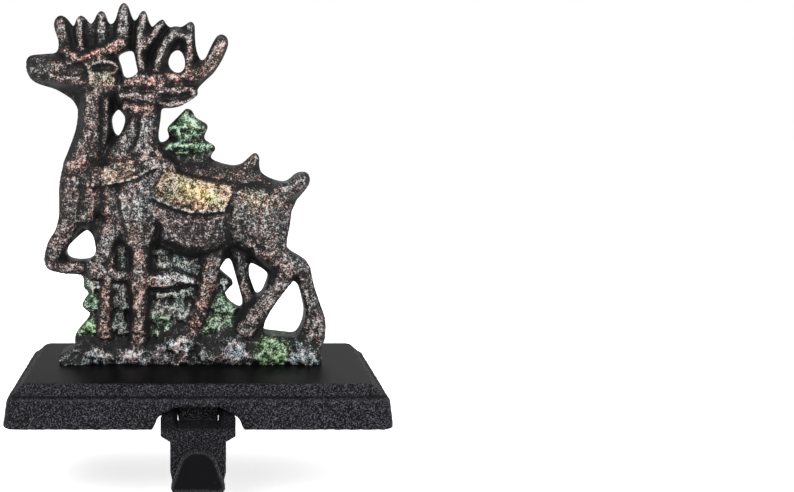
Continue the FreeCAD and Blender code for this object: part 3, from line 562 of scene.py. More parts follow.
# The layers that cloths and patches of paint lie on
NEAR = (Layer.NEAR_DEER,)
FAR = (Layer.FAR_DEER,)
DEER = (Layer.NEAR_DEER, Layer.FAR_DEER)
DEER_AND_FIRS = (Layer.NEAR_DEER, Layer.FAR_DEER, Layer.TREE)
ANTLERS = (Layer.FAR_ANTLER, Layer.NEAR_ANTLER)
FIRS = (Layer.TREE,)
STONES = (Layer.GROUND,)


def eased_maximum(first: np.ndarray, second: np.ndarray, reach: float) -> np.ndarray:
    """Takes the higher of two heights and fills the corner between them.

    Args:
        first: The first heights.
        second: The second heights.
        reach: How much higher one has to be for the other not to count.

    Returns:
        The joined heights.
    """
    near = np.clip(reach - np.abs(first - second), 0.0, None)
    return np.maximum(first, second) + near * near / (4.0 * reach)


def box_blur(values: np.ndarray, cells: int) -> np.ndarray:
    """Evens a grid of values out over a square of cells, three times.

    Args:
        values: The grid.
        cells: How many cells the square reaches to each side.

    Returns:
        The evened grid.
    """
    for _ in range(3):
        for axis in (0, 1):
            wide = np.concatenate([np.repeat(values.take([0], axis), cells + 1, axis), values,
                                   np.repeat(values.take([-1], axis), cells, axis)], axis)
            total = np.cumsum(wide, axis)
            count = values.shape[axis]
            ahead = total.take(range(2 * cells + 1, 2 * cells + 1 + count), axis)
            values = (ahead - total.take(range(count), axis)) / (2 * cells + 1)
    return values


def rounded_course(stations: np.ndarray, spacing: float) -> np.ndarray:
    """Draws a smooth curve through rows of numbers whose first two are a place.

    Args:
        stations: One row for each station.
        spacing: How far apart the places of the curve are, in the same units.

    Returns:
        The rows along the curve.
    """
    padded = np.vstack([2 * stations[0] - stations[1], stations, 2 * stations[-1] - stations[-2]])
    rows = []
    for before, start, end, after in zip(padded, padded[1:], padded[2:], padded[3:]):
        count = max(1, round(float(np.linalg.norm(end[:2] - start[:2])) / spacing))
        share = (np.arange(count) / count)[:, None]
        rows.append(0.5 * (2 * start + (end - before) * share + (2 * before - 5 * start + 4 * end - after) * share**2
                           + (3 * start - before - 3 * end + after) * share**3))
    return np.vstack(rows + [stations[-1:]])


def eased_corners(outline: Path, reach: float, chords: int = 3) -> Path:
    """Rounds the corners of a closed outline.

    Args:
        outline: The corners, in order.
        reach: How far from its corner a rounding starts at the most, in the same units.
        chords: How many chords each rounding has.

    Returns:
        The rounded outline.
    """
    corners = np.asarray(outline, float)
    share = np.linspace(0.0, 1.0, chords + 1)[:, None]
    rows = []
    for before, corner, after in zip(np.roll(corners, 1, axis=0), corners, np.roll(corners, -1, axis=0)):
        start, end = (corner + (other - corner) * min(0.5, reach / float(np.linalg.norm(other - corner)))
                      for other in (before, after))
        rows.append((1.0 - share) ** 2 * start + 2.0 * share * (1.0 - share) * corner + share**2 * end)
    return tuple(map(tuple, np.vstack(rows)))


@dataclass(frozen=True)
class Limb:
    """A tapered form through stations (across, up, half width) with a bowed front, from one height to another."""

    stations: tuple[Station, ...]
    proud: float
    end_proud: float = 0.0
    bow: float = 0.75
    draft: float = 2.8
    end_fall: float = 1.6
    least_shoulder: float = 0.35
    spacing: float = 2.2
    margin: float = 5.0

    def reach(self) -> Reach:
        """Returns the least and the greatest place that the form touches, across and up."""
        rows = np.array(self.stations)
        spread = rows[:, 2].max() + self.margin
        (left, low), (right, high) = rows[:, :2].min(0) - spread, rows[:, :2].max(0) + spread
        return left, right, low, high

    def height(self, across: np.ndarray, up: np.ndarray) -> np.ndarray:
        """Returns how far the form stands before the back at each place.

        Args:
            across: How far right each place is.
            up: How far up each place is.

        Returns:
            The heights, which fall steeply outside the form.
        """
        count = len(self.stations)
        heights = np.linspace(self.proud, self.end_proud or self.proud, count)
        rows = rounded_course(np.column_stack([np.array(self.stations), heights]), self.spacing)
        best = np.full(across.shape, NOWHERE)
        last = len(rows) - 2
        for index, (start, end) in enumerate(zip(rows[:-1], rows[1:])):
            run = end[:2] - start[:2]
            length = max(float(np.hypot(*run)), 1e-6)
            along = ((across - start[0]) * run[0] + (up - start[1]) * run[1]) / length
            side = ((up - start[1]) * run[0] - (across - start[0]) * run[1]) / length
            share = np.clip(along / length, 0.0, 1.0)
            beyond = along - share * length
            if index == 0:
                beyond = np.where(along < 0, beyond * self.end_fall, beyond)
            if index == last:
                beyond = np.where(along > length, beyond * self.end_fall, beyond)
            half = start[2] + share * (end[2] - start[2])
            crest = start[3] + share * (end[3] - start[3])
            shoulder = np.maximum(crest - self.bow * half, self.least_shoulder * crest)
            off = np.hypot(side, beyond)
            part = np.clip(off / half, 0.0, 1.0)
            best = np.maximum(best, shoulder + (crest - shoulder) * np.sqrt(1.0 - part * part)
                              - self.draft * np.clip(off - half, 0.0, None))
        return best


@dataclass(frozen=True)
class Fir:
    """A fir tree of drooping tiers, from rows of (up, half width, proud)."""

    axis: float
    tiers: tuple[Station, ...]
    seed: int
    rag: float = 1.1
    waves: tuple[float, ...] = (7.0, 3.8, 2.3)
    droop: float = 0.055
    least_bow: float = 0.72
    draft: float = 2.2

    def reach(self) -> Reach:
        """Returns the least and the greatest place that the tree touches, across and up."""
        rows = np.array(self.tiers)
        spread = rows[:, 1].max() + 4.0
        return self.axis - spread, self.axis + spread, rows[:, 0].min() - 3.0, rows[:, 0].max() + 3.0

    def height(self, across: np.ndarray, up: np.ndarray) -> np.ndarray:
        """Returns how far the tree stands before the back at each place, with ragged boughs.

        Args:
            across: How far right each place is.
            up: How far up each place is.

        Returns:
            The heights, which fall steeply outside the tree.
        """
        rows = np.array(self.tiers[::-1])
        draw = np.random.default_rng(self.seed)
        wave = np.zeros(across.shape)
        for length in self.waves:
            turn, slide = draw.uniform(0.0, 6.3, 2)
            wave += np.sin(across * TURN / length + 0.9 * np.sin(up / 3.1 + turn) + slide)
        off = np.abs(across - self.axis)
        level = up + self.droop * off + self.rag * 0.45 * wave
        half = np.interp(level, rows[:, 0], rows[:, 1])
        proud = np.interp(level, rows[:, 0], rows[:, 2])
        bowed = np.sqrt(1.0 - np.clip(off / half, 0.0, 1.0) ** 2)
        outside = np.clip(off - half, 0.0, None)
        outside = np.maximum(outside, np.clip(np.maximum(rows[0, 0] - level, level - rows[-1, 0]), 0.0, None))
        return proud * (self.least_bow + 0.28 * bowed) + 0.28 * wave * bowed - self.draft * outside


@dataclass(frozen=True)
class Boulder:
    """An angular stone at a place, with rings of facets, each ring with its number, its fall and its top."""

    place: Point
    radius: float
    proud: float
    seed: int
    rings: tuple[tuple[int, float, float], ...] = ((8, 2.6, 3.0), (6, 0.55, 1.12), (3, 0.18, 0.99))
    widen: float = 1.25
    steep: float = 0.42

    def reach(self) -> Reach:
        """Returns the least and the greatest place that the stone touches, across and up."""
        spread = 1.5 * self.radius + 3.0
        return self.place[0] - spread, self.place[0] + spread, self.place[1] - spread, self.place[1] + spread

    def height(self, across: np.ndarray, up: np.ndarray) -> np.ndarray:
        """Returns the stone's flat facets as heights, each place under the lowest of them.

        Args:
            across: How far right each place is.
            up: How far up each place is.

        Returns:
            The heights, which fall steeply outside the stone.
        """
        draw = np.random.default_rng(self.seed)
        east = (across - self.place[0]) / (self.widen * self.radius)
        north = (up - self.place[1]) / self.radius
        level = np.full(across.shape, 1.0)
        for ring, fall, top in self.rings:
            start = draw.uniform(0.0, 6.3)
            for index in range(ring):
                angle = start + TURN * (index + draw.uniform(-0.25, 0.25)) / ring
                lean = fall * draw.uniform(0.85, 1.15)
                level = np.minimum(level, top - lean * (east * math.cos(angle) + north * math.sin(angle)))
        return self.proud - self.steep * self.radius * (1.0 - level)


@dataclass(frozen=True)
class Patch:
    """An area of one colour on some layers, in millimetres on the relief's plane."""

    pigment: Pigments
    outline: Path
    layers: tuple[Layer, ...]
    edge: float = 1.2
    strength: float = 1.0


@dataclass(frozen=True)
class Mass:
    """Forms that were modelled together, and how they were set against what is behind them."""

    layer: Layer
    forms: tuple
    blend: float
    cut_in: float = 0.7


@dataclass(frozen=True)
class Cloth:
    """A thin layer over part of the relief, inside an outline."""

    outline: Path
    thickness: float
    layers: tuple[Layer, ...]


@dataclass(frozen=True)
class Stroke:
    """One pull of a carving tool, in millimetres on the relief's plane. A positive depth raises a ridge."""

    path: Path
    width: float
    depth: float
    profile: Profile = Profile.ROUND

    def lift(self, places: np.ndarray) -> np.ndarray:
        """Returns how far each place is raised.

        Args:
            places: One row of two numbers for each place.

        Returns:
            The rise at each place, in millimetres.
        """
        share = np.clip(distance_to_path(places, self.path) / self.width, 0.0, 1.0)
        if self.profile is Profile.KNIFE:
            return self.depth * (1.0 - share) ** 2
        return self.depth * (0.5 + 0.5 * np.cos(np.pi * share))


# The relief's outline and openings, in millimetres across and up from the middle of the tray's top
OUTLINE: Path = (
    (-60.5, -4), (-60.5, 0), (-61, 3.5), (-58, 5), (-53.5, 6.5), (-54.5, 11.5), (-53, 13.5), (-49, 18), (-47.5, 21),
    (-48, 22.5), (-51.5, 25), (-49.5, 28), (-47.5, 30.5), (-50.5, 33), (-50, 36.5), (-51.5, 39), (-57, 39),
    (-61.5, 40), (-65, 41), (-67.5, 44), (-66.5, 49.5), (-65, 54), (-61.5, 59), (-60, 65), (-60, 78), (-59, 83.5),
    (-57.5, 89), (-53, 101), (-52, 106), (-51.5, 110.5), (-54, 115), (-58, 117.5), (-61.5, 119.5), (-68.5, 121.5),
    (-71, 123), (-73.5, 127.5), (-73.8, 131), (-72.5, 133.5), (-60.5, 134.5), (-59, 137), (-59.5, 141), (-61, 144),
    (-61.5, 147), (-60.5, 149.5), (-58.5, 150.5), (-56.5, 149.5), (-54, 146), (-52.7, 145.8), (-51.5, 149),
    (-50, 150.5), (-48.5, 149.5), (-47, 147.5), (-45.5, 146.5), (-44, 148.5), (-43, 151), (-41, 152.5), (-39.8, 151),
    (-39, 148), (-37.5, 146.5), (-36, 147), (-34.5, 149.5), (-33.5, 153.5), (-31.7, 156), (-30, 154.5), (-29, 151),
    (-27.5, 147.8), (-25.5, 149), (-24.5, 151.5), (-23, 152.5), (-22, 151), (-21.5, 148.5), (-20, 145.5),
    (-19, 145.5), (-17, 147.5), (-15, 149), (-14, 147), (-12, 145), (-9.5, 146), (-7.5, 145.2), (-5, 146.5),
    (-3, 148), (-1.5, 146.5), (-1.5, 141.5), (-1, 136), (0.5, 132), (2, 131.2), (3.5, 132.5), (5, 136), (7, 140),
    (8.5, 142), (10.5, 142.5), (12.5, 141), (12.8, 138), (11.5, 134.5), (9.5, 130.5), (6.5, 126), (3, 123),
    (0, 120), (-0.5, 118.5), (0, 117), (-3.5, 114.5), (-8, 112), (-12, 111.3), (-16, 111.5), (-16.5, 106),
    (-17.5, 99.5), (-17, 96.5), (-15, 96.2), (-12, 98.5), (-13.5, 102.5), (-11.5, 104.5), (-6, 110), (-5, 111),
    (-2.5, 110), (-1.5, 107), (1.5, 105.5), (4, 104), (4, 102.5), (2.5, 99.5), (2.7, 97.3), (7, 95), (7.5, 93.5),
    (5.5, 91.5), (5.5, 89), (10.5, 87), (16, 86), (19.5, 87), (22.5, 90), (25, 92), (26.5, 90.5), (26.5, 85.5),
    (27.5, 83), (30.5, 81), (34.5, 79.5), (38, 79), (40.5, 80.5), (43, 83), (46, 83.5), (48, 83), (48.5, 80),
    (47, 77), (43.5, 72), (40, 68), (39.5, 62), (38.5, 57), (38, 52), (40, 49), (46, 45.5), (48.5, 43.5),
    (49, 40.5), (50.5, 34), (53, 27), (55.5, 20.5), (56, 14.5), (56, 10.5), (53.8, 7), (54, 0), (54, -4))
OPENINGS: tuple[Path, ...] = (
    ((-34.5, 133), (-32.5, 134.5), (-29.5, 135.5), (-27.5, 135), (-26, 128), (-25.5, 126), (-29, 124), (-32, 124.5),
     (-33, 129.5)),
    ((-9, 136), (-7, 135), (-5.5, 131), (-6, 127.5), (-8.5, 126), (-11.5, 127.5), (-13, 130.5), (-11.5, 134.5)),
    ((-34.5, 111), (-32, 108.5), (-31.5, 105.5), (-33, 101), (-35, 99), (-36.8, 101.5), (-37.5, 107)),
    ((-48.5, 58.5), (-46, 55), (-44.5, 52), (-44.5, 49), (-46.5, 46), (-49, 45), (-54, 45), (-57, 46), (-58, 48),
     (-57, 51), (-53.5, 54.5)),
    ((11.5, 45), (14, 45.5), (15, 43), (17.5, 34), (19.5, 27), (19.5, 24), (18, 23.5), (13.5, 26.5), (11.5, 31),
     (15.5, 34), (15.5, 35.5), (9.5, 40.5), (9.5, 42)),
    ((22.5, 43.5), (25.5, 42.5), (29.5, 40), (31, 38), (28.5, 31), (26.5, 29.5), (25.5, 30), (22.5, 38.5)),
    ((41, 36.5), (43.5, 35), (45, 31), (47, 22.5), (46.5, 18), (45, 14), (43, 11.5), (30, 13), (28.5, 14), (31.5, 23),
     (35, 28.5)),
)

TREES = Mass(Layer.TREE, (
    Fir(-4.7, ((111.5, 0.8, 8.8), (107, 4, 9.6), (103, 8.6, 10.4), (101.6, 8.2, 9), (98.4, 6.6, 8.5),
               (95.4, 11.8, 10.4), (93.4, 11.4, 8.9), (90, 9.6, 8.2), (86, 13, 8.2), (76, 13, 7.9)), 3, 0.3),
    Fir(-40, ((40, 9.2, 9.8), (36, 10.2, 10.5), (33, 10, 10.6), (31.5, 8, 9), (25.6, 11, 10.6), (23.4, 10, 9.2),
              (21.5, 8, 9), (15, 13, 11.1), (12.6, 13, 9.5), (8, 13, 10.5), (2, 14, 10.3)), 5),
    Fir(-13, ((56, 9, 9.5), (50, 13, 10.8), (46.6, 13.5, 9.3), (41, 13, 10.8), (36.4, 14, 9.2), (30.5, 14.5, 11),
              (27.4, 14, 9.1), (21, 15, 11.2), (18.4, 15, 9.3), (12, 15, 11.3), (9.5, 15, 9.8), (2, 15, 10.3)), 9),
    Fir(5, ((50, 5, 9.3), (41, 6.5, 10.1), (38.4, 6, 9.1), (35.4, 11, 10.4), (33.6, 9, 9.2), (31, 7.5, 9.1),
            (24, 13, 10.8), (21.4, 12.5, 9.2), (15, 15, 11.2), (12.5, 15, 9.4), (7, 20, 10.9), (2, 22, 10.3)), 12),
    Fir(-34, ((60, 6, 7.4), (52, 7, 9.6), (48, 7, 8.6), (42, 8, 9.8), (24, 8, 9.4)), 15),
), blend=0.8)

FAR_ANTLERS = Mass(Layer.FAR_ANTLER, (
    Limb(((-56.5, 135.4, 1.8), (-53.5, 133.6, 1.9), (-50.4, 131.8, 2), (-46.5, 132.8, 2), (-41, 134.8, 2.2),
          (-36.5, 136.4, 2.6), (-32.2, 138.6, 3)), 13.4, 11.4),
    Limb(((-55.8, 133.5, 3.6), (-57.8, 141, 3.2), (-58.6, 147.4, 2.5)), 8.2, 6.6),
    Limb(((-50.2, 132, 1.9), (-50, 137, 1.7), (-50.6, 143, 1.9), (-50.3, 148.6, 1.6)), 9.6, 6.6),
    Limb(((-41, 136, 2.6), (-41.2, 144, 2.4), (-41, 150.6, 1.6)), 7, 5.8),
    Limb(((-32.4, 138, 3.2), (-31.8, 146, 3.2), (-31.7, 154, 2)), 9.6, 7.2),
), blend=1.6, cut_in=0.2)

FAR_DEER = Mass(Layer.FAR_DEER, (
    Limb(((-70.6, 128.6, 4.2), (-67.5, 128.3, 6.1), (-62.5, 127.5, 6.2), (-57.5, 126.8, 7.2), (-50, 125.8, 8.6),
          (-43, 124.8, 9.2), (-38, 125, 7)), 8.6, 11.2),
    Limb(((-70.8, 127, 3.5), (-65.5, 125.6, 3.1)), 9.6, 9.6),
    Limb(((-45.5, 122.5, 4.7), (-40.5, 121.6, 5.9), (-36, 122, 4.7)), 12.8, 12.4),
    Limb(((-55, 131.4, 2.8), (-49.5, 131.2, 3.1), (-45, 130, 3.1)), 11.2, 11.6),
    Limb(((-62.5, 124.2, 2.1), (-56.1, 123.2, 2.4), (-48.6, 122.8, 2.8)), 11, 11.8),
    Limb(((-46, 127, 2.6), (-41.5, 128.6, 3.8), (-37, 128.4, 3.5), (-34.4, 127.6, 2.1)), 12.2, 11.4),
    Limb(((-43.5, 118, 7.6), (-44.2, 110, 6.9), (-44.9, 101, 7.3), (-47.8, 92, 7.8), (-50.6, 85, 8), (-51.6, 78, 8.2),
          (-51.8, 71, 8.4), (-52, 65, 7.2)), 10.6, 12.2),
    Limb(((-45, 117, 3.8), (-45.6, 108, 3.8), (-46.8, 99, 3.8), (-50.6, 91, 3.8), (-54, 86, 4)), 12.4, 12.8),
    Limb(((-53.2, 82, 5.7), (-54, 75, 6.1), (-54.4, 68, 5.4)), 13.6, 12.8),
    Limb(((-46.6, 80, 3.8), (-46.2, 72, 4.2), (-47.2, 64, 3.8)), 12.8, 11.8),
    Limb(((-51.5, 76, 8), (-55.5, 66, 6.6), (-58.5, 58, 5.4), (-62, 51, 4.7), (-64.6, 45.5, 3.5)), 12, 10.2),
    Limb(((-65, 43.4, 2.9), (-60, 42.2, 2.9), (-52, 42, 3.1), (-45, 41.5, 3.5)), 9.8, 8.4),
    Limb(((-48, 78, 10), (-47.5, 68, 8), (-47, 64, 5.4)), 11, 9),
    Limb(((-46, 80, 9), (-20, 80.5, 9.4), (5, 79, 8.6), (20, 77.5, 8.6), (29, 74, 7.6)), 12.4, 11.2),
    Limb(((-39.5, 62, 5.9), (-39.5, 40, 3.3), (-40.2, 30, 2.9), (-41, 18, 3.2), (-41.4, 11, 4.2), (-41.8, 6, 4.7)),
         11.6, 12.6),
    Limb(((6.5, 52, 5.7), (5.5, 41, 4.4), (3.5, 32, 4.1), (0.5, 23, 4), (-1.8, 16.5, 4.2), (-3.5, 11, 5.1)),
         12.2, 12.6),
    Limb(((17.5, 52, 5), (19.5, 39, 3.4), (21, 30, 3.3), (23.5, 21, 3.5)), 7.6, 8.4),
    Limb(((16, 80.5, 5.4), (21, 85, 3.8), (24.9, 90.4, 1.8)), 9, 7.2),
), blend=1.8, cut_in=0.5)

NEAR_ANTLERS = Mass(Layer.NEAR_ANTLER, (
    Limb(((-27.5, 122.6, 2.4), (-22, 123.6, 3.4), (-14, 123.4, 3.2), (-6.5, 124, 3), (-1, 125.4, 3), (3.6, 128.4, 3),
          (7.4, 133.4, 3.1), (10, 139.2, 2.8)), 13, 9.6),
    Limb(((-23, 125, 2.6), (-24.6, 131, 2), (-24.8, 137, 1.9), (-24.2, 144, 2.1), (-23.2, 150.4, 1.6)), 12, 8),
    Limb(((-23, 137, 1.9), (-19.6, 141.6, 2), (-15.6, 146.8, 1.6)), 9.8, 7.2),
    Limb(((-18.4, 124, 2.6), (-17.4, 129, 2), (-16, 134, 1.8), (-12.8, 139.6, 1.9), (-9.2, 142.6, 2)), 12.2, 8.6),
    Limb(((-5, 124.6, 2), (-3.8, 131, 1.9), (-3.6, 138, 2), (-3.4, 145.4, 1.7)), 11, 8),
    Limb(((-9, 142.6, 1.9), (-5.6, 141.2, 1.7), (-3.6, 139, 1.7)), 8.4, 8.6),
), blend=1.6, cut_in=0.2)

NEAR_DEER = Mass(Layer.NEAR_DEER, (
    Limb(((-32.6, 118.5, 3.4), (-29.5, 118.6, 5.3), (-25, 119, 5.8), (-20, 119.4, 6.6), (-16.5, 119.4, 6.2)),
         12.4, 14.2),
    Limb(((-30.5, 122.4, 2.6), (-25, 123, 3.4), (-19, 122.6, 3.4)), 14.4, 15.4),
    Limb(((-33, 116.4, 1.8), (-27, 116, 2.3), (-19, 115.2, 2.4)), 13.6, 15.2),
    Limb(((-31, 112.5, 2.4), (-26, 111.2, 3.8), (-20.5, 110.8, 5)), 12, 13.6),
    Limb(((-17, 115.4, 3.8), (-12, 116, 5.3), (-6, 117, 4.8), (-1.4, 117.6, 2.2)), 13.6, 11.2),
    Limb(((-22.6, 111, 5.8), (-23.4, 104, 6.4), (-25.4, 98, 7.6), (-27.8, 92, 9.6), (-30, 86, 12), (-30.6, 79, 13.4),
          (-30.6, 72, 13.4), (-31, 66, 11.4), (-32, 60, 8)), 12.4, 14, 0.55),
    Limb(((-21, 108, 3.8), (-21.6, 100, 4.6), (-23.6, 93, 5)), 14.6, 15.4),
    Limb(((-38, 84, 5), (-38.8, 76, 5.5), (-38.4, 68, 5.3)), 14, 14.2),
    Limb(((-27, 80, 8), (-26.5, 70, 9.4), (-26, 60, 7), (-25.8, 54, 6)), 16, 15.8),
    Limb(((-31.5, 74, 5.3), (-30, 67, 6), (-28, 60, 5)), 16.8, 16.6),
    Limb(((-27, 68, 10), (-18, 66, 13.2), (-8, 63.6, 15.6), (1, 62.6, 15.8), (8, 64.4, 14.8), (16, 67, 12.8)),
         15.6, 15.8, 0.5),
    Limb(((-19, 79, 8), (-9, 77.6, 7.2), (4, 75.4, 6), (15, 73, 6.6)), 14.6, 15),
    Limb(((-21, 97, 4), (-20.5, 91.5, 5.6), (-17.5, 86.6, 6), (-12, 83, 5)), 14.8, 15),
    Limb(((-13, 60, 6), (-5, 55.6, 5.4), (4, 55.4, 6.2), (10, 59.6, 5.3)), 16.4, 16.4),
    Limb(((13, 66.5, 11.8), (20, 65.5, 14.8), (26, 64, 15.4), (30.5, 63, 13.6), (33.5, 62, 9.8)), 15.8, 15.8, 0.55),
    Limb(((19, 73, 5.4), (26.5, 70, 7), (31, 63, 6)), 16.8, 16.6),
    Limb(((26, 60, 11.5), (32, 51.5, 7.6), (37.5, 45.5, 5.8), (42.5, 43, 4.2)), 15.4, 13.2),
    Limb(((41, 44, 4.6), (36, 35.8, 3.8), (30, 27.8, 4), (24, 20, 4.2), (20.3, 13.5, 5)), 13.8, 14.2),
    Limb(((40, 44.5, 4.7), (46, 41.8, 4.2), (48.4, 32, 3.8), (50.8, 22, 4.3), (51.3, 16, 5.2), (50, 11, 5.8)),
         13, 13.2),
    Limb(((34, 74, 4.6), (41, 77.6, 3.7), (45.5, 80.8, 3)), 13.6, 11),
    Limb(((-29, 72, 8), (-36, 62, 5.5), (-40.5, 52, 4.4), (-45, 42.4, 4.7)), 13.8, 12.6),
    Limb(((-45.5, 40.4, 3.8), (-40, 39.5, 3.1), (-30, 38.5, 3.1), (-22, 37.4, 3.4)), 12.6, 12.2),
    Limb(((-22.5, 37, 3.4), (-15, 37.2, 4.2), (-9.2, 38, 3.6), (-4.2, 36.8, 1.8), (-1.8, 36.3, 1)), 14.2, 13.2),
    Limb(((-25.9, 61, 7.2), (-25.3, 56.5, 6), (-25, 50, 3.9), (-25.1, 43.5, 3.9), (-25.6, 38, 5), (-25.6, 33, 4.2),
          (-25.4, 27, 3.3), (-25.6, 18, 3.3), (-26, 12, 4.2), (-26.3, 7.5, 4.7)), 15.4, 14.4),
), blend=2.4, cut_in=0.5)

GROUND = Mass(Layer.GROUND, (
    Limb(((-60.5, 0, 4.6), (-52, 0, 6.5), (-43, 0, 7.4), (-21, 0, 7.8), (-3, 0, 9), (18, 0, 8.8), (28, 0, 10.5),
          (45, 0, 9.5), (53, 0, 7.2)), 14.2),
    Boulder((-53.4, 3.6), 2.8, 13.7, 1), Boulder((-44, 4.2), 3.4, 15.3, 2), Boulder((-35.5, 2.8), 2.4, 14.5, 3),
    Boulder((-28.5, 3.6), 3.4, 15.7, 4), Boulder((-18, 3.4), 3.1, 15.1, 5), Boulder((-8.4, 8.4), 4, 15.3, 6),
    Boulder((-8, 2.2), 3, 14.9, 16), Boulder((4, 3.4), 3.1, 15.1, 7), Boulder((15.6, 5.8), 4.3, 15.7, 8),
    Boulder((25, 3.4), 2.8, 15.1, 9), Boulder((33, 5.6), 5.2, 15.9, 10), Boulder((46, 4.4), 4.3, 15.7, 11),
    Boulder((-49, 1.6), 2.1, 14.9, 12), Boulder((9.6, 1.8), 2.3, 14.7, 13), Boulder((40, 1.8), 2.3, 14.9, 14),
    Boulder((-23.2, 1.4), 2, 14.9, 15),
), blend=0.5, cut_in=1)

CLOTHS = (
    Cloth(((-14.3, 85.7), (0.8, 81.6), (15.2, 79.2), (14.4, 73), (11, 67.6), (3, 66.6), (-3.5, 66.4), (-8.7, 68),
           (-14.3, 70.3), (-20, 72.9), (-17.3, 80.5)), 1.1, DEER_AND_FIRS),
    Cloth(((-46, 77.3), (-34.6, 79), (-25.1, 81.8), (-16.4, 86.4), (-16.2, 88.8), (-20.7, 91), (-33.6, 88.4),
           (-46, 86)), 0.8, DEER),
    Cloth(((-61, 84), (-46, 85.6), (-46, 89.2), (-61, 87.6)), 0.6, FAR),
)

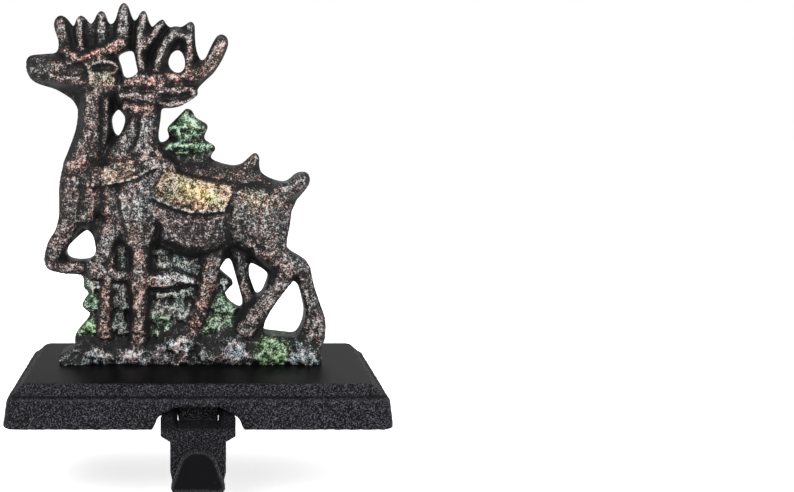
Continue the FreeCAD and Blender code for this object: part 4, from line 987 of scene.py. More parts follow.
STROKES: tuple[Stroke, ...] = (
    # Far head: eye and brow, nostril, mouth, jaw, cheek
    Stroke(((-53.4, 130.2), (-50.6, 131.3), (-47.8, 130.4)), 1.2, 0.7),
    Stroke(((-52, 129.2), (-50.4, 129.5), (-48.8, 129)), 1.3, -1.3),
    Stroke(((-50.4, 129.2),), 0.7, 0.7),
    Stroke(((-52.6, 127.7), (-50.2, 127.4), (-47.8, 128)), 0.9, 0.4),
    Stroke(((-70.8, 130.4), (-69.4, 130.8)), 1, -0.8),
    Stroke(((-73.2, 126), (-68.5, 124.4), (-64, 123.6)), 1.1, -1.1, Profile.KNIFE),
    Stroke(((-65.2, 130.6), (-64.2, 127.4), (-60.2, 124.4), (-54.4, 124), (-49.4, 124.2)), 1.1, 0.8),
    Stroke(((-66.5, 129.6), (-60.5, 130.4), (-56, 129.6)), 2.2, 0.5),
    Stroke(((-62.4, 121.4), (-56, 119.8), (-50, 119.2)), 2.2, -1),
    Stroke(((-48.6, 127), (-48, 122), (-44.6, 117.6)), 1.5, -1),
    Stroke(((-36, 126.4), (-34, 122), (-35.6, 117.6)), 1.3, -0.7),
    # Far ear: hollow and rims
    Stroke(((-43.8, 128.1), (-39.4, 128.6), (-35.6, 127.9)), 1.7, -2.2),
    Stroke(((-46, 128.6), (-41.8, 131.2), (-37.2, 131.2), (-33.8, 129)), 1.2, 0.9),
    Stroke(((-45.2, 126.2), (-40, 125.9), (-35.6, 126.2)), 0.9, 0.6),
    # Far neck and chest: the ridges of the coat, the straps and the hollows between them
    Stroke(((-40.6, 114), (-40.4, 104), (-41.6, 92)), 1.8, -0.8),
    Stroke(((-50, 112), (-50.6, 103), (-54.4, 93)), 1.6, -0.7),
    Stroke(((-42.6, 116), (-42.2, 108), (-43.6, 97)), 0.9, 0.5),
    Stroke(((-45.6, 79), (-44.8, 72), (-46, 65)), 1.1, 0.8),
    Stroke(((-50.4, 80), (-50, 72), (-51.2, 64)), 1.3, -1),
    Stroke(((-42.2, 80), (-42, 71), (-43.4, 63)), 1.5, -1.3),
    Stroke(((-39.4, 77), (-38.6, 70), (-39.4, 63.4)), 1.1, 0.8),
    Stroke(((-57.8, 80), (-58.2, 72), (-60, 62)), 1.2, -0.6),
    Stroke(((-56, 64.6), (-60, 56), (-63.2, 49)), 0.9, 0.6),
    # Near head: brow, eyes, lips and chin
    Stroke(((-23.6, 118.4), (-20.4, 119), (-17, 120.2)), 1.5, -1.2),
    Stroke(((-20.6, 118.5),), 0.8, 0.8),
    Stroke(((-32.4, 119.3), (-29.8, 119.3)), 1.5, -1.4),
    Stroke(((-30.8, 119.2),), 0.6, 0.5),
    Stroke(((-27.6, 120.8), (-26.6, 118)), 1.5, 0.5),
    Stroke(((-34.2, 116.7), (-30.4, 116.6), (-25, 117), (-18.6, 116)), 1, 0.6),
    Stroke(((-33.4, 114.9), (-29.4, 114), (-25, 113.2), (-19.4, 112.9)), 1, -0.9),
    Stroke(((-31, 112.6), (-26.2, 111.9), (-19, 111.5)), 1.1, 0.6),
    Stroke(((-29.4, 110), (-25, 107.6), (-20, 107.4)), 1.6, -1),
    Stroke(((-17.6, 117.6), (-17, 113.4), (-17.6, 110.8)), 1.1, -1.1),
    # Near ear: hollow and rims
    Stroke(((-14.2, 115.6), (-9.4, 115.6), (-4.4, 116.4)), 2.5, -2.6),
    Stroke(((-16.4, 118), (-10.2, 119.9), (-4.2, 119.9), (-0.8, 117.6)), 1.2, 1.2),
    Stroke(((-15.4, 113.4), (-11, 112.2), (-6, 113.2), (-2, 115.8)), 1, 0.8),
    # Near neck: folds of the coat
    Stroke(((-26.2, 105), (-26.8, 98), (-30.4, 91)), 1.4, -0.8),
    Stroke(((-18.6, 106), (-18.4, 99), (-18.8, 92)), 1.1, -0.6),
    Stroke(((-23.6, 107), (-24.4, 99), (-27, 92)), 1, 0.5),
    # Collars: rims above and below
    Stroke(((-44.5, 86.4), (-33, 88.4), (-25, 90), (-18.2, 90.6)), 1.2, 0.9),
    Stroke(((-44.5, 78.4), (-34.6, 79.8), (-25.4, 82.8), (-17, 87)), 1.2, 0.9),
    Stroke(((-60, 83.9), (-52, 84.6), (-46.5, 85.6)), 0.9, 0.7),
    Stroke(((-60, 88.2), (-52, 88.8), (-46.5, 89)), 0.9, 0.7),
    # Upper fir: the shade under its two tiers
    Stroke(((-14.9, 100.1), (-11.9, 98.6), (-7.7, 97.5), (-3.4, 97.5), (0.8, 98.2), (4.2, 99.2)),
           1.2, -1.5, Profile.KNIFE),
    Stroke(((-16.2, 93.3), (-12.8, 91.4), (-7.7, 90.7), (-2.6, 91.2), (2.5, 91.6), (6.3, 93.3)),
           1.4, -1.4, Profile.KNIFE),
    # Raised hoof: the shade below it
    Stroke(((-21.3, 32.7), (-14.4, 32.7), (-8.7, 33.4), (-3.5, 34.7)), 1.5, -2, Profile.KNIFE),
    # Collars: undercuts below and above
    Stroke(((-44.5, 77), (-34.6, 78.4), (-25.4, 81.4), (-17.4, 85.4)), 1.1, -1.3, Profile.KNIFE),
    Stroke(((-44.5, 88), (-33, 89.9), (-25, 91.5), (-18.2, 92.2)), 1, -0.9, Profile.KNIFE),
    Stroke(((-60, 82.4), (-52, 83.1), (-46.5, 84.1)), 1, -0.9, Profile.KNIFE),
    # Saddle blanket: the undercut below its hem
    Stroke(((-20.4, 72), (-14.4, 69.4), (-8.8, 67.1), (-2, 65.7), (5, 65.6), (11.4, 66.8)), 1.2, -1.3, Profile.KNIFE),
    # Saddle blanket: hem, hollow inside the hem and pleats
    Stroke(((-19.2, 73.6), (-14, 71), (-8.4, 68.7), (-2, 67.3), (5, 67.2), (10.6, 68.4), (13.6, 73.4), (14.6, 78.6)),
           1.3, 0.9),
    Stroke(((-17, 75.6), (-12, 73.2), (-6, 70.8), (0, 69.8), (6, 69.9), (9.8, 71.6), (11.8, 77.4)), 1, -0.8),
    Stroke(((-13.8, 84.8), (-6, 82.6), (3, 80.6), (13.6, 78.8)), 1.2, 0.7),
    *(Stroke(path, 1.2, -0.6) for path in (
        ((-10, 83.4), (-12.6, 78), (-11.8, 73.6)), ((-5.6, 82.2), (-7.6, 77), (-6.2, 71.6)),
        ((-1, 81.2), (-2.4, 76), (-0.6, 70.8)), ((3.8, 80.2), (3.4, 75.4), (4.6, 70.8)),
        ((8.6, 79.4), (8.8, 75.2), (8.6, 71.6)))),
    *(Stroke(path, 0.9, 0.5) for path in (
        ((-8, 82.6), (-10, 78), (-9.2, 73)), ((-3.2, 81.6), (-5, 76.6), (-3.6, 71.2)),
        ((1.4, 80.6), (0.4, 75.6), (2, 70.8)), ((6.2, 79.8), (6.2, 75.2), (6.8, 71)))),
    # Near body: behind the shoulder, ribs, belly, flank and thigh
    Stroke(((-17.4, 62), (-17.2, 57), (-18.6, 51.4)), 2, -2.4),
    Stroke(((-35.2, 80), (-34.4, 70), (-31.6, 58)), 1.5, -1),
    Stroke(((-22.4, 74), (-21.4, 66), (-22.6, 57)), 1.3, -0.6),
    Stroke(((-10, 64.4), (-2, 62.4), (7, 63.4)), 2, 0.5),
    Stroke(((-14, 56), (-6, 53.4), (4, 53.4), (9.6, 56.4)), 1.3, 0.6),
    Stroke(((14.9, 77.4), (13.6, 70.4), (13, 62), (14.2, 52.6)), 2.4, -1.4),
    Stroke(((18, 62), (21.6, 56), (27.6, 50.6)), 1.6, -0.8),
    Stroke(((24, 78.6), (31, 75), (35.8, 69)), 1.6, 0.6),
    Stroke(((36.4, 60), (35, 54), (38.4, 48.4)), 1.1, -0.7),
    Stroke(((31.6, 56), (36.4, 49.6), (41.4, 46)), 1, 0.6),
    # Tails: the parted hair
    Stroke(((35.6, 76.4), (41, 78.8), (46.4, 81.6)), 0.8, 0.6),
    Stroke(((36.6, 74), (42.4, 77), (46.8, 80)), 0.8, -0.6),
    Stroke(((18.4, 81.4), (22, 85.4), (25, 90.6)), 0.9, -0.7),
    # Knees, hocks and hooves
    Stroke(((-67, 46.4), (-64.4, 44.4), (-62.4, 41.4)), 1, -0.6),
    Stroke(((-47.6, 44.4), (-44.6, 43), (-41.8, 42.4)), 1, -0.7),
    Stroke(((-23.4, 40.2), (-22.4, 37.2), (-23.2, 34.6)), 1, -0.9),
    Stroke(((-20.6, 38.8), (-13, 38.8), (-6, 36.8)), 1, 0.6),
    Stroke(((-19.6, 35.8), (-12, 35.6), (-6.8, 35.6)), 0.9, -0.7),
    Stroke(((-31.6, 12.2), (-27.2, 13.4), (-22.8, 12.2)), 0.9, -1),
    Stroke(((-27.2, 11.6), (-27.3, 5.6)), 0.8, -0.9),
    Stroke(((-31, 14.2), (-27.2, 15.2), (-23.4, 14.2)), 0.9, 0.5),
    Stroke(((-45.2, 9.6), (-41.6, 10.6), (-38.2, 9.6)), 0.8, -0.8),
    Stroke(((-7.6, 14.2), (-2.6, 15.6), (1.4, 14.8)), 0.8, -0.9),
    Stroke(((16.4, 16), (20.6, 17.8), (24.4, 16.4)), 0.9, -0.9),
    Stroke(((46.6, 13.4), (50.8, 14.8), (55, 13.6)), 0.9, -1),
    Stroke(((50.6, 13.6), (50, 7.6)), 0.8, -0.8),
    Stroke(((-28.6, 46), (-25.8, 43.6), (-23.2, 45.6)), 1, 0.5),
    Stroke(((-28.4, 56), (-29, 48)), 0.9, -0.6),
    Stroke(((-23, 56), (-22.8, 48)), 0.9, -0.6),
    # Antlers: grooves along the beams
    Stroke(((-54, 132.6), (-50.4, 130.6), (-42, 133.4), (-34, 136.6)), 0.8, -0.5),
    Stroke(((-14, 121.4), (-5, 122.2), (2.4, 125.8), (8, 132.4)), 0.9, -0.6),
)

PATCHES: tuple[Patch, ...] = (
    # Firs: the upper one, and those between the legs
    Patch(Pigments.FIR, ((-4, 113), (4.5, 103.4), (1.2, 98.2), (-11.1, 98.2), (-14.6, 103.4)), FIRS),
    Patch(Pigments.FIR, ((-12.1, 97.5), (1.2, 97.5), (7.1, 93.7), (-0.9, 90.2), (-6.9, 90), (-12.8, 92.3),
                         (-16.8, 95)), FIRS),
    Patch(Pigments.IRON, ((-18, 91), (-6.9, 89), (6, 91), (10, 80), (-18, 80)), FIRS),
    Patch(Pigments.FIR, ((-50, 36), (-41.3, 28.7), (-42.2, 22.5), (-47, 22.4), (-54, 27)), FIRS),
    Patch(Pigments.MOSS, ((-48, 21.6), (-43.6, 15.4), (-44.6, 8), (-50.7, 6), (-56.5, 11.8)), FIRS),
    Patch(Pigments.FIR, ((-22.4, 22), (-11.5, 21.2), (-11.5, 10), (-23, 9.5)), FIRS),
    Patch(Pigments.FIR, ((2, 30.6), (11.4, 30.6), (18.9, 19.9), (13, 15.9), (1.1, 21)), FIRS),
    Patch(Pigments.FIR, ((0.7, 19.6), (10.5, 18.7), (9.7, 8.1), (-0.2, 8.6)), FIRS),
    # Saddle blanket: hem, gilding and pale middle
    Patch(Pigments.SHADE_STONE, ((-13, 86.1), (15.8, 79.8), (14.1, 73), (9.8, 67.8), (0.8, 66), (-9.9, 68),
                                 (-20.3, 73), (-18, 80.1)), DEER_AND_FIRS, 0.7),
    Patch(Pigments.GOLD, ((-13, 86.1), (15.8, 79.8), (14.1, 74), (11.4, 69.4), (5, 68.2), (-3.5, 67.8), (-9.9, 70.4),
                          (-19.6, 75.2), (-18, 80.1)), DEER_AND_FIRS, 0.9),
    Patch(Pigments.BRASS, ((-14, 86.1), (-9, 85), (-12, 72), (-20.4, 75), (-18, 80.1)), NEAR, 2, 0.7),
    Patch(Pigments.PALE_GOLD, ((-8, 80), (-2, 79), (5, 77.4), (8, 73.6), (4, 71), (-6, 74)), NEAR, 2, 0.8),
    # Collars and straps, and the copper of the legs
    Patch(Pigments.BRASS, ((-44, 88), (-16, 91.6), (-16, 86.4), (-25, 82), (-44, 78)), NEAR, 1, 0.7),
    Patch(Pigments.COPPER, ((-52, 38), (12, 38), (12, 10), (-52, 10)), DEER, 2, 0.4),
    Patch(Pigments.COPPER, ((-44, 91), (-16, 92.6), (-16, 89.4), (-44, 86)), DEER, 1, 0.75),
    Patch(Pigments.COPPER, ((-46.6, 79), (-43.8, 79), (-44.6, 64), (-47, 64)), FAR, 0.8, 0.8),
    Patch(Pigments.COPPER, ((-40.6, 78), (-38, 78), (-37.6, 62), (-40.4, 62)), DEER, 0.8, 0.8),
    Patch(Pigments.COPPER, ((-62, 89), (-46, 90), (-46, 84.4), (-62, 83)), FAR, 1, 0.7),
    # Far ear, antlers, and the near head's brow and chin
    Patch(Pigments.BRASS, ((-46.4, 126.5), (-33.3, 126.5), (-33.4, 120.5), (-41.4, 120.1), (-46.5, 121)),
          FAR, 1.4, 0.8),
    Patch(Pigments.COPPER, ((-58, 136), (-50, 130), (-41, 132), (-31, 136), (-31, 141), (-42, 137), (-50, 134),
                            (-57, 138)), (Layer.FAR_ANTLER,), 1, 0.9),
    Patch(Pigments.SILVER, ((-62, 142), (-62, 158), (14, 158), (14, 142)), ANTLERS, 2.5, 0.5),
    Patch(Pigments.COPPER, ((-30, 124.5), (-18, 124.5), (-16, 120.6), (-30, 120.6)), NEAR, 1.2, 0.85),
    Patch(Pigments.COPPER, ((-31, 112.6), (-18, 112.4), (-18, 108), (-29, 108)), NEAR, 1.2, 0.6),
    # Belly, near antler, muzzle, breast, legs, tail and back
    # Painted shade on the belly, where the barrel turns under
    Patch(Pigments.IRON, ((-17, 64), (12, 64), (12, 44), (-17, 44)), NEAR, 3, 0.6),
    Patch(Pigments.COPPER, ((3, 64), (13, 64), (13, 54), (3, 52)), NEAR, 3, 0.5),
    Patch(Pigments.COPPER, ((-31, 127), (2, 128), (12, 140), (14, 134), (4, 122), (-31, 120)), (Layer.NEAR_ANTLER,),
          2, 0.5),
    Patch(Pigments.IRON, ((-75, 135), (-62, 135), (-62, 123), (-75, 123)), FAR, 3, 0.7),
    # Painted shade on the lower belly and the rump
    Patch(Pigments.IRON, ((-7.8, 56.8), (0.8, 60.3), (6.8, 65), (12.8, 67), (13.3, 55), (6, 50), (-3.5, 50.4)),
          NEAR, 2.5, 0.9),
    Patch(Pigments.STONE, ((-25.6, 92.9), (-17, 92.9), (-13.6, 88), (-15.6, 84.4), (-20.6, 78), (-21.6, 71),
                           (-25.6, 76)), NEAR, 2.5, 0.5),
    # Painted shade along the right side of the near hind leg and hock
    Patch(Pigments.IRON, ((35.3, 52.4), (42.2, 49.8), (48.6, 45.4), (52.2, 35.8), (53.1, 23.4), (48.4, 22.5),
                          (46.4, 33.1), (44.1, 41.9), (38, 45.4)), NEAR, 1.6, 0.8),
    Patch(Pigments.IRON, ((12, 49.6), (20.7, 50.4), (26.4, 44), (24.4, 34), (16.4, 33.1), (10.3, 41.1)),
          DEER_AND_FIRS, 2, 0.8),
    Patch(Pigments.IRON, ((39.3, 77.6), (45.2, 84.5), (50.5, 80.9), (46.3, 72.2), (40.2, 71.3)), NEAR, 2, 0.6),
    Patch(Pigments.FIR, ((13, 20.8), (20.8, 20.8), (20.9, 11.8), (13, 11.8)), FIRS, 1.2, 0.8),
    Patch(Pigments.IRON, ((-68, 50), (-60, 50), (-56, 40), (-68, 40)), FAR, 2, 0.6),
    Patch(Pigments.COPPER, ((-33, 66), (-24, 62), (-22, 42), (-30, 42)), NEAR, 2, 0.45),
    Patch(Pigments.BRASS, ((18, 78), (30, 76), (36, 70), (26, 69), (17, 72)), NEAR, 2.5, 0.7),
    Patch(Pigments.STONE, ((-17.5, 41.5), (-9, 43), (-0.5, 37.6), (-3, 33.4), (-17.5, 33)), NEAR, 0.8, 0.85),
    # Pale silver on the shoulder and withers: partly the paint, partly a painted highlight on the top of the body
    Patch(Pigments.SILVER, ((-38, 78), (-16, 83), (-18, 72), (-24, 60), (-34, 66)), NEAR, 3, 0.4),
    # Stones and the moss between them
    Patch(Pigments.STONE, ((-13.6, 4.6), (-12.3, 12), (-6.2, 13.3), (-2.6, 8.3), (-4, 4.1)), STONES, 0.9),
    Patch(Pigments.STONE, ((10, 7.4), (15.7, 11), (21.5, 8.8), (20.9, 2.4), (10.8, 2.4)), STONES, 0.9),
    Patch(Pigments.STONE, ((39.8, 4.7), (44.5, 8.4), (52.4, 6.2), (52, 0.4), (39.8, 0)), STONES, 0.9),
    Patch(Pigments.STONE, ((-34.2, 3.8), (-29.8, 7.6), (-23.6, 6.2), (-23.6, 1), (-33.8, 0.6)), STONES, 0.9),
    Patch(Pigments.STONE, ((-48.2, 4.2), (-43.8, 7.6), (-38, 5.2), (-39, 0.4), (-47.8, 0.6)), STONES, 0.9, 0.8),
    Patch(Pigments.MOSS, ((26.4, 12.3), (37.9, 12.6), (40.2, 6.5), (37.6, -0.5), (27, 0.1), (24.4, 6.5)), STONES, 1),
)


def closed_loops(border: np.ndarray) -> list[list[int]]:
    """Orders the edges of a border into loops.

    Args:
        border: One row for each edge, from the point where it starts to the point where it ends.

    Returns:
        The points of each loop, in order.
    """
    after = dict(zip(border[:, 0].tolist(), border[:, 1].tolist()))
    loops = []
    while after:
        start, step = after.popitem()
        loop = [start]
        while step != start:
            loop.append(step)
            step = after.pop(step)
        loops.append(loop)
    return loops


@dataclass
class ReliefGrid:
    """The relief as heights before its flat back, on a fine square grid, in millimetres."""

    step: float = 0.42
    plate: float = 4.3
    edge_round: float = 1.3
    corner_reach: float = 2.0
    corner_spare: float = 0.15
    left: float = -75.0
    right: float = 57.4
    top: float = 157.4
    cut_reach: float = 5.0
    join: float = 0.35
    stroke_spacing: float = 1.2
    wall_rows: int = 5

    def __post_init__(self) -> None:
        """Lays out the grid and measures how deep each place lies inside the casting's outline."""
        self.rows_across = np.arange(self.left, self.right, self.step)
        self.rows_up = np.arange(0.0, self.top, self.step)
        self.across, self.up = np.meshgrid(self.rows_across, self.rows_up)
        self.places = np.column_stack([self.across.ravel(), self.up.ravel()])
        inside = depth_inside(self.places, eased_corners(OUTLINE, self.corner_reach)) + self.corner_spare
        for opening in OPENINGS:
            hollow = depth_inside(self.places, eased_corners(opening, self.corner_reach)) + self.corner_spare
            inside = np.minimum(inside, -hollow)
        self.inside = inside.reshape(self.across.shape)
        self.height = np.full(self.across.shape, self.plate)
        self.layer = np.zeros(self.across.shape, int)

    def window(self, reach: Reach) -> tuple[slice, slice]:
        """Finds the part of the grid that holds a reach.

        Args:
            reach: The least and the greatest place, across and up.

        Returns:
            The rows and the columns.
        """
        left, right = np.searchsorted(self.rows_across, reach[:2])
        low, high = np.searchsorted(self.rows_up, reach[2:])
        return slice(max(low - 1, 0), high + 1), slice(max(left - 1, 0), right + 1)

    def add(self, mass: Mass) -> None:
        """Models one mass on what is there, and cuts in round it.

        Args:
            mass: Its forms.
        """
        raised = np.full(self.across.shape, NOWHERE)
        for form in mass.forms:
            part = self.window(form.reach())
            raised[part] = eased_maximum(raised[part], form.height(self.across[part], self.up[part]), mass.blend)
        gap = self.height - raised
        near = np.where(gap > 0.0, np.clip(1.0 - gap / self.cut_reach, 0.0, 1.0), 0.0)
        self.height -= mass.cut_in * near * near
        self.layer = np.where(raised > self.height, mass.layer.value, self.layer)
        self.height = eased_maximum(self.height, raised, self.join)

    def belongs(self, layers: tuple[Layer, ...]) -> np.ndarray:
        """Returns where the relief belongs to one of the layers."""
        return np.isin(self.layer, [layer.value for layer in layers])

    def lay(self, cloth: Cloth) -> None:
        """Lays a cloth on its layers."""
        deep = depth_inside(self.places, cloth.outline).reshape(self.across.shape)
        self.height += cloth.thickness * smooth_step(-0.15, 0.45, deep) * self.belongs(cloth.layers)

    def carve(self, stroke: Stroke) -> None:
        """Pulls one stroke of the tool over the relief.

        Args:
            stroke: Its path, width, depth and profile.
        """
        path = np.array(stroke.path)
        spread = stroke.width + 0.5
        (left, low), (right, high) = path.min(0) - spread, path.max(0) + spread
        part = self.window((left, right, low, high))
        course = rounded_course(path, self.stroke_spacing) if len(path) > 2 else path
        places = np.column_stack([self.across[part].ravel(), self.up[part].ravel()])
        rise = replace(stroke, path=tuple(map(tuple, course))).lift(places)
        self.height[part] += rise.reshape(self.across[part].shape)

    def blurred(self, values: np.ndarray, reach: float) -> np.ndarray:
        """Evens values out over about that many millimetres."""
        return box_blur(values, max(1, round(reach / self.step / 1.7)))

    def rough(self, seed: int, reach: float) -> np.ndarray:
        """Returns seeded lumps of about that size, with a spread of one."""
        lumps = self.blurred(np.random.default_rng(seed).normal(size=self.across.shape), reach)
        return lumps / lumps.std()

    def round_edges(self) -> None:
        """Rounds the front edge of the casting's sides and of its openings."""
        left = np.clip(self.edge_round - self.inside, 0.0, self.edge_round)
        self.height -= self.edge_round - np.sqrt(self.edge_round**2 - left**2)

    def cells(self) -> np.ndarray:
        """Returns which cells the casting fills, with none that touch at a corner only."""
        held = self.inside > 0.0
        cells = held[:-1, :-1] & held[1:, :-1] & held[:-1, 1:] & held[1:, 1:]
        cells[:, 0] = cells[:, -1] = cells[-1, :] = False
        for _ in range(6):
            low_left, low_right = cells[:-1, :-1], cells[:-1, 1:]
            high_left, high_right = cells[1:, :-1], cells[1:, 1:]
            rising = low_left & high_right & ~low_right & ~high_left
            falling = low_right & high_left & ~low_left & ~high_right
            if not (rising.any() or falling.any()):
                break
            cells[:-1, 1:] |= rising
            cells[:-1, :-1] |= falling
        return cells

    def snapped(self, rim: np.ndarray) -> tuple[np.ndarray, np.ndarray]:
        """Moves the grid's rim points out to the outline.

        Args:
            rim: Which points of the grid lie on the rim.

        Returns:
            Where each point lies across and up.
        """
        slope_up, slope_across = np.gradient(self.inside, self.step)
        steep = np.maximum(np.hypot(slope_up, slope_across), 0.5)
        near = rim & (self.inside < 1.5 * self.step)
        shift = np.where(near, self.inside / steep, 0.0)
        across = self.across - shift * slope_across / steep
        up = self.up - shift * slope_up / steep
        return across, np.maximum(up, 0.0)

    def cast(self, name: str, foot: Vector) -> tuple[Skin, np.ndarray]:
        """Closes the relief with sides and a flat back.

        Args:
            name: The name of the piece.
            foot: Where the grid's origin lies, on the flat back, in metres.

        Returns:
            The skin, and the place on the grid that each of its points came from.
        """
        cells = self.cells()
        columns = self.across.shape[1]
        row, column = np.nonzero(cells)
        first = row * columns + column
        quads = np.column_stack([first, first + 1, first + 1 + columns, first + columns])
        padded = np.pad(cells, 1)
        sides = []
        for (dy, dx), pair in zip(((-1, 0), (0, 1), (1, 0), (0, -1)), ((0, 1), (1, 2), (2, 3), (3, 0))):
            open_side = ~padded[row + 1 + dy, column + 1 + dx]
            sides.append(quads[open_side][:, pair])
        border = np.vstack(sides)
        used = np.unique(quads)
        place_of = np.full(self.across.size, -1)
        place_of[used] = np.arange(len(used))
        rim = np.zeros(self.across.size, bool)
        rim[border[:, 0]] = True
        across, up = self.snapped(rim.reshape(self.across.shape))
        front = np.column_stack([across.ravel(), self.height.ravel(), up.ravel()])[used]
        loops = closed_loops(border)
        rim_points = np.array([place for loop in loops for place in loop])
        rim_place = place_of[rim_points]
        slot = {place: index for index, place in enumerate(rim_points.tolist())}
        starts = np.array([slot[a] for a in border[:, 0].tolist()])
        ends = np.array([slot[b] for b in border[:, 1].tolist()])
        points, faces, sources = [front], [place_of[quads]], [used]
        above = rim_place
        for index in range(1, self.wall_rows + 1):
            ring = front[rim_place].copy()
            ring[:, 1] *= 1.0 - index / self.wall_rows
            base = sum(map(len, points))
            below = base + np.arange(len(ring))
            points.append(ring)
            sources.append(rim_points)
            faces.append(np.column_stack([above[ends], above[starts], below[starts], below[ends]]))
            above = below
        flat = [[Vector((*front[place_of[place], ::2], 0.0)) for place in loop] for loop in loops]
        fill = np.array(tessellate_polygon(flat))
        corners = np.array([tuple(place[:2]) for loop in flat for place in loop])[fill]
        turn = np.cross(corners[:, 1] - corners[:, 0], corners[:, 2] - corners[:, 0]) > 0
        fill[turn] = fill[turn][:, ::-1]
        solid = np.vstack(points)
        places = np.column_stack([foot.x + solid[:, 0] * MM, foot.y - solid[:, 1] * MM, foot.z + solid[:, 2] * MM])
        mesh = bpy.data.meshes.new(name)
        mesh.from_pydata(places.tolist(), [], np.vstack(faces).tolist() + above[fill].tolist())
        mesh.update()
        return Skin(name, mesh), np.concatenate(sources)


@dataclass(frozen=True)
class Catch:
    """How far a brush catches what stands out from an even form of some size, in millimetres, within limits."""

    share: float
    size: float
    least: float
    most: float

    def touch(self, grid: ReliefGrid, heights: np.ndarray) -> np.ndarray:
        """Returns how much more, or in hollows less, the brush touches each place; at the ridge and swell sizes this
        is partly painted shade and light.
        """
        return np.clip(self.share * (heights - grid.blurred(heights, self.size)), self.least, self.most)


@dataclass
class ReindeerRelief:
    """The casting of two reindeer side by side, before fir trees, on rocky ground."""

    least_proud: float = 1.2
    most_proud: float = 17.0
    back_slack: float = 0.01 * MM
    bare: float = -1.0
    side_shade: float = 0.9
    masses: tuple[Mass, ...] = (TREES, FAR_DEER, FAR_ANTLERS, NEAR_ANTLERS, NEAR_DEER, GROUND)
    grain: float = 0.06
    lumps: float = 0.20
    middle_lumps: float = 0.16
    coarse_lumps: float = 0.24
    grain_catch: Catch = Catch(1.7, 1.6, -0.6, 0.6)
    crest_catch: Catch = Catch(1.1, 0.9, -0.55, 0.45)
    # These two catch the brush on ridges and swells, and also paint shade into hollows and light onto the swell of
    # the limbs; painted_top_light below is painted light from above
    ridge_brush_and_shade: Catch = Catch(0.34, 2.4, -0.60, 0.28)
    swell_light_and_shade: Catch = Catch(0.08, 8.0, -0.22, 0.10)
    painted_top_light: float = 0.22
    steep_shade: float = 0.70
    tone_spread: float = 0.14
    red_spread: float = 0.10
    coats: tuple[tuple[Layer, Pigments], ...] = (
        (Layer.PLATE, Pigments.IRON), (Layer.TREE, Pigments.SHADE_FIR), (Layer.FAR_ANTLER, Pigments.BRONZE),
        (Layer.FAR_DEER, Pigments.BRONZE), (Layer.NEAR_ANTLER, Pigments.BRONZE),
        (Layer.NEAR_DEER, Pigments.PINK_SILVER), (Layer.GROUND, Pigments.SHADE_STONE),
    )
    cloths: tuple[Cloth, ...] = CLOTHS
    strokes: tuple[Stroke, ...] = STROKES
    patches: tuple[Patch, ...] = PATCHES

    def build(self) -> bpy.types.Object:
        """Models, casts and paints the relief, and sets it on the tray."""
        low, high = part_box("reindeer_figure")
        grid = ReliefGrid()
        for mass in self.masses:
            grid.add(mass)
        for cloth in self.cloths:
            grid.lay(cloth)
        for stroke in self.strokes:
            grid.carve(stroke)
        form = grid.blurred(grid.height, 0.5)
        grid.height = form + self.casting(grid)
        brushed, colour = self.paint(grid, form)
        grid.round_edges()
        grid.height = np.clip(grid.height, self.least_proud, self.most_proud)
        skin, sources = grid.cast("reindeer_relief", Vector((0.0, high.y, low.z)))
        # The casting's sides are darkened by side_shade: partly the brush missing them, partly painted shade
        side = smooth_step(0.2, 0.9, np.abs(skin.normals()[:, (0, 2)]).max(1))
        back = skin.points[:, 1] > high.y - self.back_slack
        brush_light_and_shade = brushed.ravel()[sources] - self.side_shade * side
        skin.store("brushed", np.where(back, self.bare, brush_light_and_shade))
        iron = np.array(Pigments.IRON.value.crest)
        skin.store("pigment", np.clip(np.where(back[:, None], iron, colour.reshape(-1, 3)[sources]), 0.0, 1.0))
        made = skin.piece(DryBrushedIron().material(), high.y - self.back_slack)
        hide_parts("reindeer_figure")
        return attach(made, Body.TRAY.value)

    def casting(self, grid: ReliefGrid) -> np.ndarray:
        """Draws the grain and the lumps that the sand and the carver left, coarser on trees and stones.

        Args:
            grid: The relief.

        Returns:
            How far each place is raised.
        """
        broken = grid.blurred(np.where(grid.belongs((Layer.TREE, Layer.GROUND)), 1.0, 0.0), 0.8)
        smooth = 0.55 + 0.45 * np.clip(grid.rough(seed=21, reach=6.0), -1.0, 1.0)
        fine = self.grain * grid.rough(seed=11, reach=0.45) + self.lumps * smooth * grid.rough(seed=12, reach=1.0)
        fine += self.middle_lumps * grid.rough(seed=14, reach=2.0)
        return fine * (1.0 + 0.3 * broken) + self.coarse_lumps * broken * grid.rough(seed=13, reach=1.7)

    def paint(self, grid: ReliefGrid, form: np.ndarray) -> tuple[np.ndarray, np.ndarray]:
        """Brushes the colours over the crests, paints light onto slopes that face up, and paints shade into hollows
        and onto steep flanks, where the brush also reaches less.

        Args:
            grid: The relief with its grain.
            form: Its heights without the grain.

        Returns:
            How much the brush touches each place with the painted light and shade taken in, and its colour there.
        """
        colour = np.zeros((*form.shape, 3))
        cover = np.zeros(form.shape)
        for layer, pigment in self.coats:
            where = grid.layer == layer.value
            colour[where] = pigment.value.crest
            cover[where] = pigment.value.cover
        for patch in self.patches:
            deep = depth_inside(grid.places, patch.outline).reshape(form.shape)
            share = smooth_step(-patch.edge, patch.edge, deep) * patch.strength * grid.belongs(patch.layers)
            colour += (np.array(patch.pigment.value.crest) - colour) * share[..., None]
            cover += (patch.pigment.value.cover - cover) * share
        tone = np.clip(grid.rough(seed=31, reach=5.0), -1.6, 1.6)
        colour *= 1.0 + self.tone_spread * tone[..., None]
        colour[..., 0] *= 1.0 + self.red_spread * np.clip(grid.rough(seed=32, reach=4.0), -1.5, 1.5)
        slope_up, slope_across = np.gradient(form, grid.step)
        facing = 1.0 / np.sqrt(1.0 + slope_up**2 + slope_across**2)
        crest = self.grain_catch.touch(grid, grid.height - form) + self.crest_catch.touch(grid, form)
        ridge = self.ridge_brush_and_shade.touch(grid, form)
        swell = self.swell_light_and_shade.touch(grid, form)
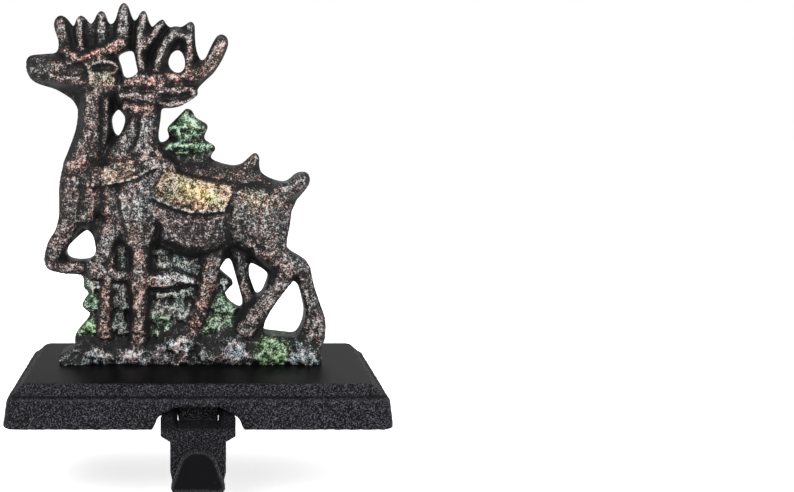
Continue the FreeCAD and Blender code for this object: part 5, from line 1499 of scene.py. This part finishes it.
        # painted_top_light is painted light from above on slopes that face up; the ridge and swell terms and
        # steep_shade are partly painted shade
        brush_light_and_shade = cover + crest + ridge + swell + self.painted_top_light * np.clip(-slope_up, -1.0, 1.0) * facing
        front = smooth_step(0.1, 0.95, facing)
        return brush_light_and_shade - self.steep_shade * (1.0 - front), colour


@dataclass
class CastTray:
    """The upturned tray: ground smooth on top, rough from the sand on its band and skirt."""

    voxel: float = 0.75 * MM
    ledge: float = 12.2
    cast_grain: float = 0.09 * MM
    most_rise: float = 0.1 * MM
    top_edge: tuple[float, float] = (0.5 * MM, 1.0 * MM)
    top_slope: tuple[float, float] = (0.97, 0.90)
    seed: int = 5

    def build(self) -> bpy.types.Object:
        """Casts the tray and roughens its sides."""
        low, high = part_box("base_tray")
        skin = Skin.cast("cast_tray", "base_tray", self.voxel)
        skin.soften(3)
        normals = skin.normals()
        below = smooth_step(*(high.z - depth for depth in self.top_edge), skin.points[:, 2])
        rough = np.maximum(smooth_step(*self.top_slope, normals[:, 2]), below)
        uneven, lumps = skin.sand_grain(self.seed, (1, 5))
        rise = self.cast_grain * uneven * rough
        skin.points += normals * np.minimum(rise, self.most_rise)[:, None]
        level = (skin.points[:, 2] - low.z) / MM - self.ledge
        skin.store("rough", rough)
        # Painted shade: a dark line along the ledge; just below it a painted highlight along the lit edge
        skin.store("painted_shade", 0.9 * np.exp(-((level - 0.5) / 0.45) ** 2))
        patchy = 0.6 + 0.4 * np.clip(lumps, -1.0, 1.0)
        skin.store("painted_edge_highlight", 0.45 * np.exp(-((level + 0.45) / 0.4) ** 2) * patchy)
        made = skin.piece(SandCastBlack().material())
        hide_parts("base_tray")
        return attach(made, Body.TRAY.value)


@dataclass
class FoldingHook:
    """The forked hook that folds under the tray."""

    voxel: float = 0.32 * MM
    cast_grain: float = 0.06 * MM
    toe_slope: tuple[float, float] = (0.86, 0.96)
    toe_depth: tuple[float, float] = (7.0 * MM, 5.0 * MM)
    sunk_depth: tuple[float, float] = (9.0 * MM, 6.5 * MM)
    seed: int = 7

    def build(self) -> bpy.types.Object:
        """Casts the hook and roughens it."""
        skin = Skin.cast("folding_hook", "stocking_hook", self.voxel)
        skin.soften(4)
        normals = skin.normals()
        uneven, _ = skin.sand_grain(self.seed, (2, 10))
        skin.points += normals * np.minimum(self.cast_grain * uneven, 0.0)[:, None]
        low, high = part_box("stocking_hook")
        toe_face = smooth_step(*self.toe_slope, -skin.averaged(skin.normals(), 6)[:, 1])
        toe_face *= smooth_step(*(low.y + depth for depth in self.toe_depth), skin.points[:, 1])
        toe_face = skin.averaged(toe_face, 2)
        sunk = smooth_step(*(high.z - depth for depth in self.sunk_depth), skin.points[:, 2])
        skin.store("rough", 1.0 - toe_face)
        # Painted shadow of the tray on the hook's head up in its notch, and a painted highlight along the rim of the
        # toe's face
        skin.store("painted_shade", 0.75 * sunk)
        skin.store("painted_edge_highlight", 1.6 * toe_face * (1.0 - toe_face))
        made = skin.piece(SandCastBlack().material())
        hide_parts("stocking_hook")
        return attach(made, Body.HOOK.value)


@dataclass
class Fasteners:
    """The hinge pin and the two screws, which keep their forms."""

    finishes: tuple[tuple[str, TurnedSteel], ...] = (
        ("hook_pin", TurnedSteel("blackened_steel", (0.030, 0.030, 0.033), (0.015, 0.015, 0.017))),
        ("figure_screws", TurnedSteel()),
    )

    def dress(self) -> None:
        """Gives the pin its black and the screws their plating."""
        for name, finish in self.finishes:
            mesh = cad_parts[name].data
            mesh.materials.clear()
            mesh.materials.append(finish.material())
            log.info("%s: %s", name, finish.name)


@dataclass
class Studio:
    """A pale floor, soft lights and the camera."""

    distance: float = 0.468
    eye_height: float = 0.138
    pitch_deg: float = 8.4
    lens: float = 49.24
    sensor: float = 36.0
    shift: float = 0.2505
    floor_drop: float = 0.012
    floor_size: float = 6.0
    floor_lift: float = 0.62
    floor_tones: tuple[Colour, Colour] = ((0.86, 0.86, 0.86), (0.90, 0.90, 0.90))
    room_light: float = 0.55

    def build(self) -> None:
        """Makes the floor, the lights, the world and the camera."""
        self.floor()
        self.world()
        self.light("key", (-0.55, -0.75, 0.95), 0.8, 11.0)
        self.light("fill", (0.75, -0.65, 0.45), 0.8, 5.0)
        self.light("rim", (0.1, 0.7, 0.8), 0.7, 4.0)
        self.camera()

    def camera(self) -> None:
        """Places the camera where the photograph was taken from."""
        data = bpy.data.cameras.new("camera")
        data.sensor_width = self.sensor
        data.lens = self.lens
        data.shift_x = self.shift
        data.clip_start = 0.01
        made = bpy.data.objects.new("camera", data)
        made.location = (0.0, -self.distance, self.eye_height)
        made.rotation_euler = (math.radians(90.0 - self.pitch_deg), 0.0, 0.0)
        bpy.context.scene.collection.objects.link(made)
        bpy.context.scene.camera = made

    def light(self, name: str, place: tuple[float, float, float], size: float, power: float) -> None:
        """Hangs one soft lamp that looks at the middle of the object.

        Args:
            name: The lamp's name.
            place: Where it hangs, in metres.
            size: The side of its square face, in metres.
            power: Its power, in watts.
        """
        data = bpy.data.lights.new(name, "AREA")
        data.size = size
        data.energy = power
        made = bpy.data.objects.new(name, data)
        made.location = place
        middle = Vector((0.0, 0.0, 0.08))
        made.rotation_euler = (middle - Vector(place)).to_track_quat("-Z", "Y").to_euler()
        bpy.context.scene.collection.objects.link(made)

    def floor(self) -> None:
        """Lays the pale floor below the hook."""
        half = self.floor_size / 2
        level = CAD_BOX[0][2] - self.floor_drop
        mesh = bpy.data.meshes.new("floor")
        corners = [(x, y, level) for x, y in ((-half, -half), (half, -half), (half, half), (-half, half))]
        mesh.from_pydata(corners, [], [(0, 1, 2, 3)])
        nodes = Nodes("pale_floor")
        nodes.link(nodes.mix(nodes.noise(30.0 * MM), *self.floor_tones), nodes.shader.inputs["Base Color"])
        nodes.shader.inputs["Roughness"].default_value = 0.9
        nodes.shader.inputs["Specular IOR Level"].default_value = 0.1
        nodes.shader.inputs["Emission Color"].default_value = (1.0, 1.0, 1.0, 1.0)
        ray = nodes.tree.nodes.new("ShaderNodeLightPath").outputs
        seen = nodes.tree.nodes.new("ShaderNodeMath")
        seen.operation = "MAXIMUM"
        nodes.link(ray["Is Camera Ray"], seen.inputs[0])
        nodes.link(ray["Is Glossy Ray"], seen.inputs[1])
        nodes.link(nodes.product(seen.outputs[0], self.floor_lift), nodes.shader.inputs["Emission Strength"])
        mesh.materials.append(nodes.material)
        made = bpy.data.objects.new("floor", mesh)
        bpy.context.scene.collection.objects.link(made)

    def world(self) -> None:
        """Fills the room with even light, and shows white behind the object."""
        world = bpy.data.worlds.new("studio")
        world.use_nodes = True
        tree = world.node_tree
        back = tree.nodes["Background"]
        back.inputs["Color"].default_value = (1.0, 1.0, 1.0, 1.0)
        ray = tree.nodes.new("ShaderNodeLightPath").outputs
        strength = tree.nodes.new("ShaderNodeMapRange")
        tree.links.new(ray["Is Camera Ray"], strength.inputs["Value"])
        strength.inputs["To Min"].default_value = self.room_light
        strength.inputs["To Max"].default_value = 1.0
        tree.links.new(strength.outputs["Result"], back.inputs["Strength"])
        bpy.context.scene.world = world


def main() -> None:
    """Builds the pieces and the studio."""
    logging.basicConfig(level=logging.INFO, format="%(name)s: %(message)s")
    bpy.context.scene.view_settings.view_transform = "Standard"
    ReindeerRelief().build()
    CastTray().build()
    FoldingHook().build()
    Fasteners().dress()
    Studio().build()


if __name__ == "__main__":
    main()
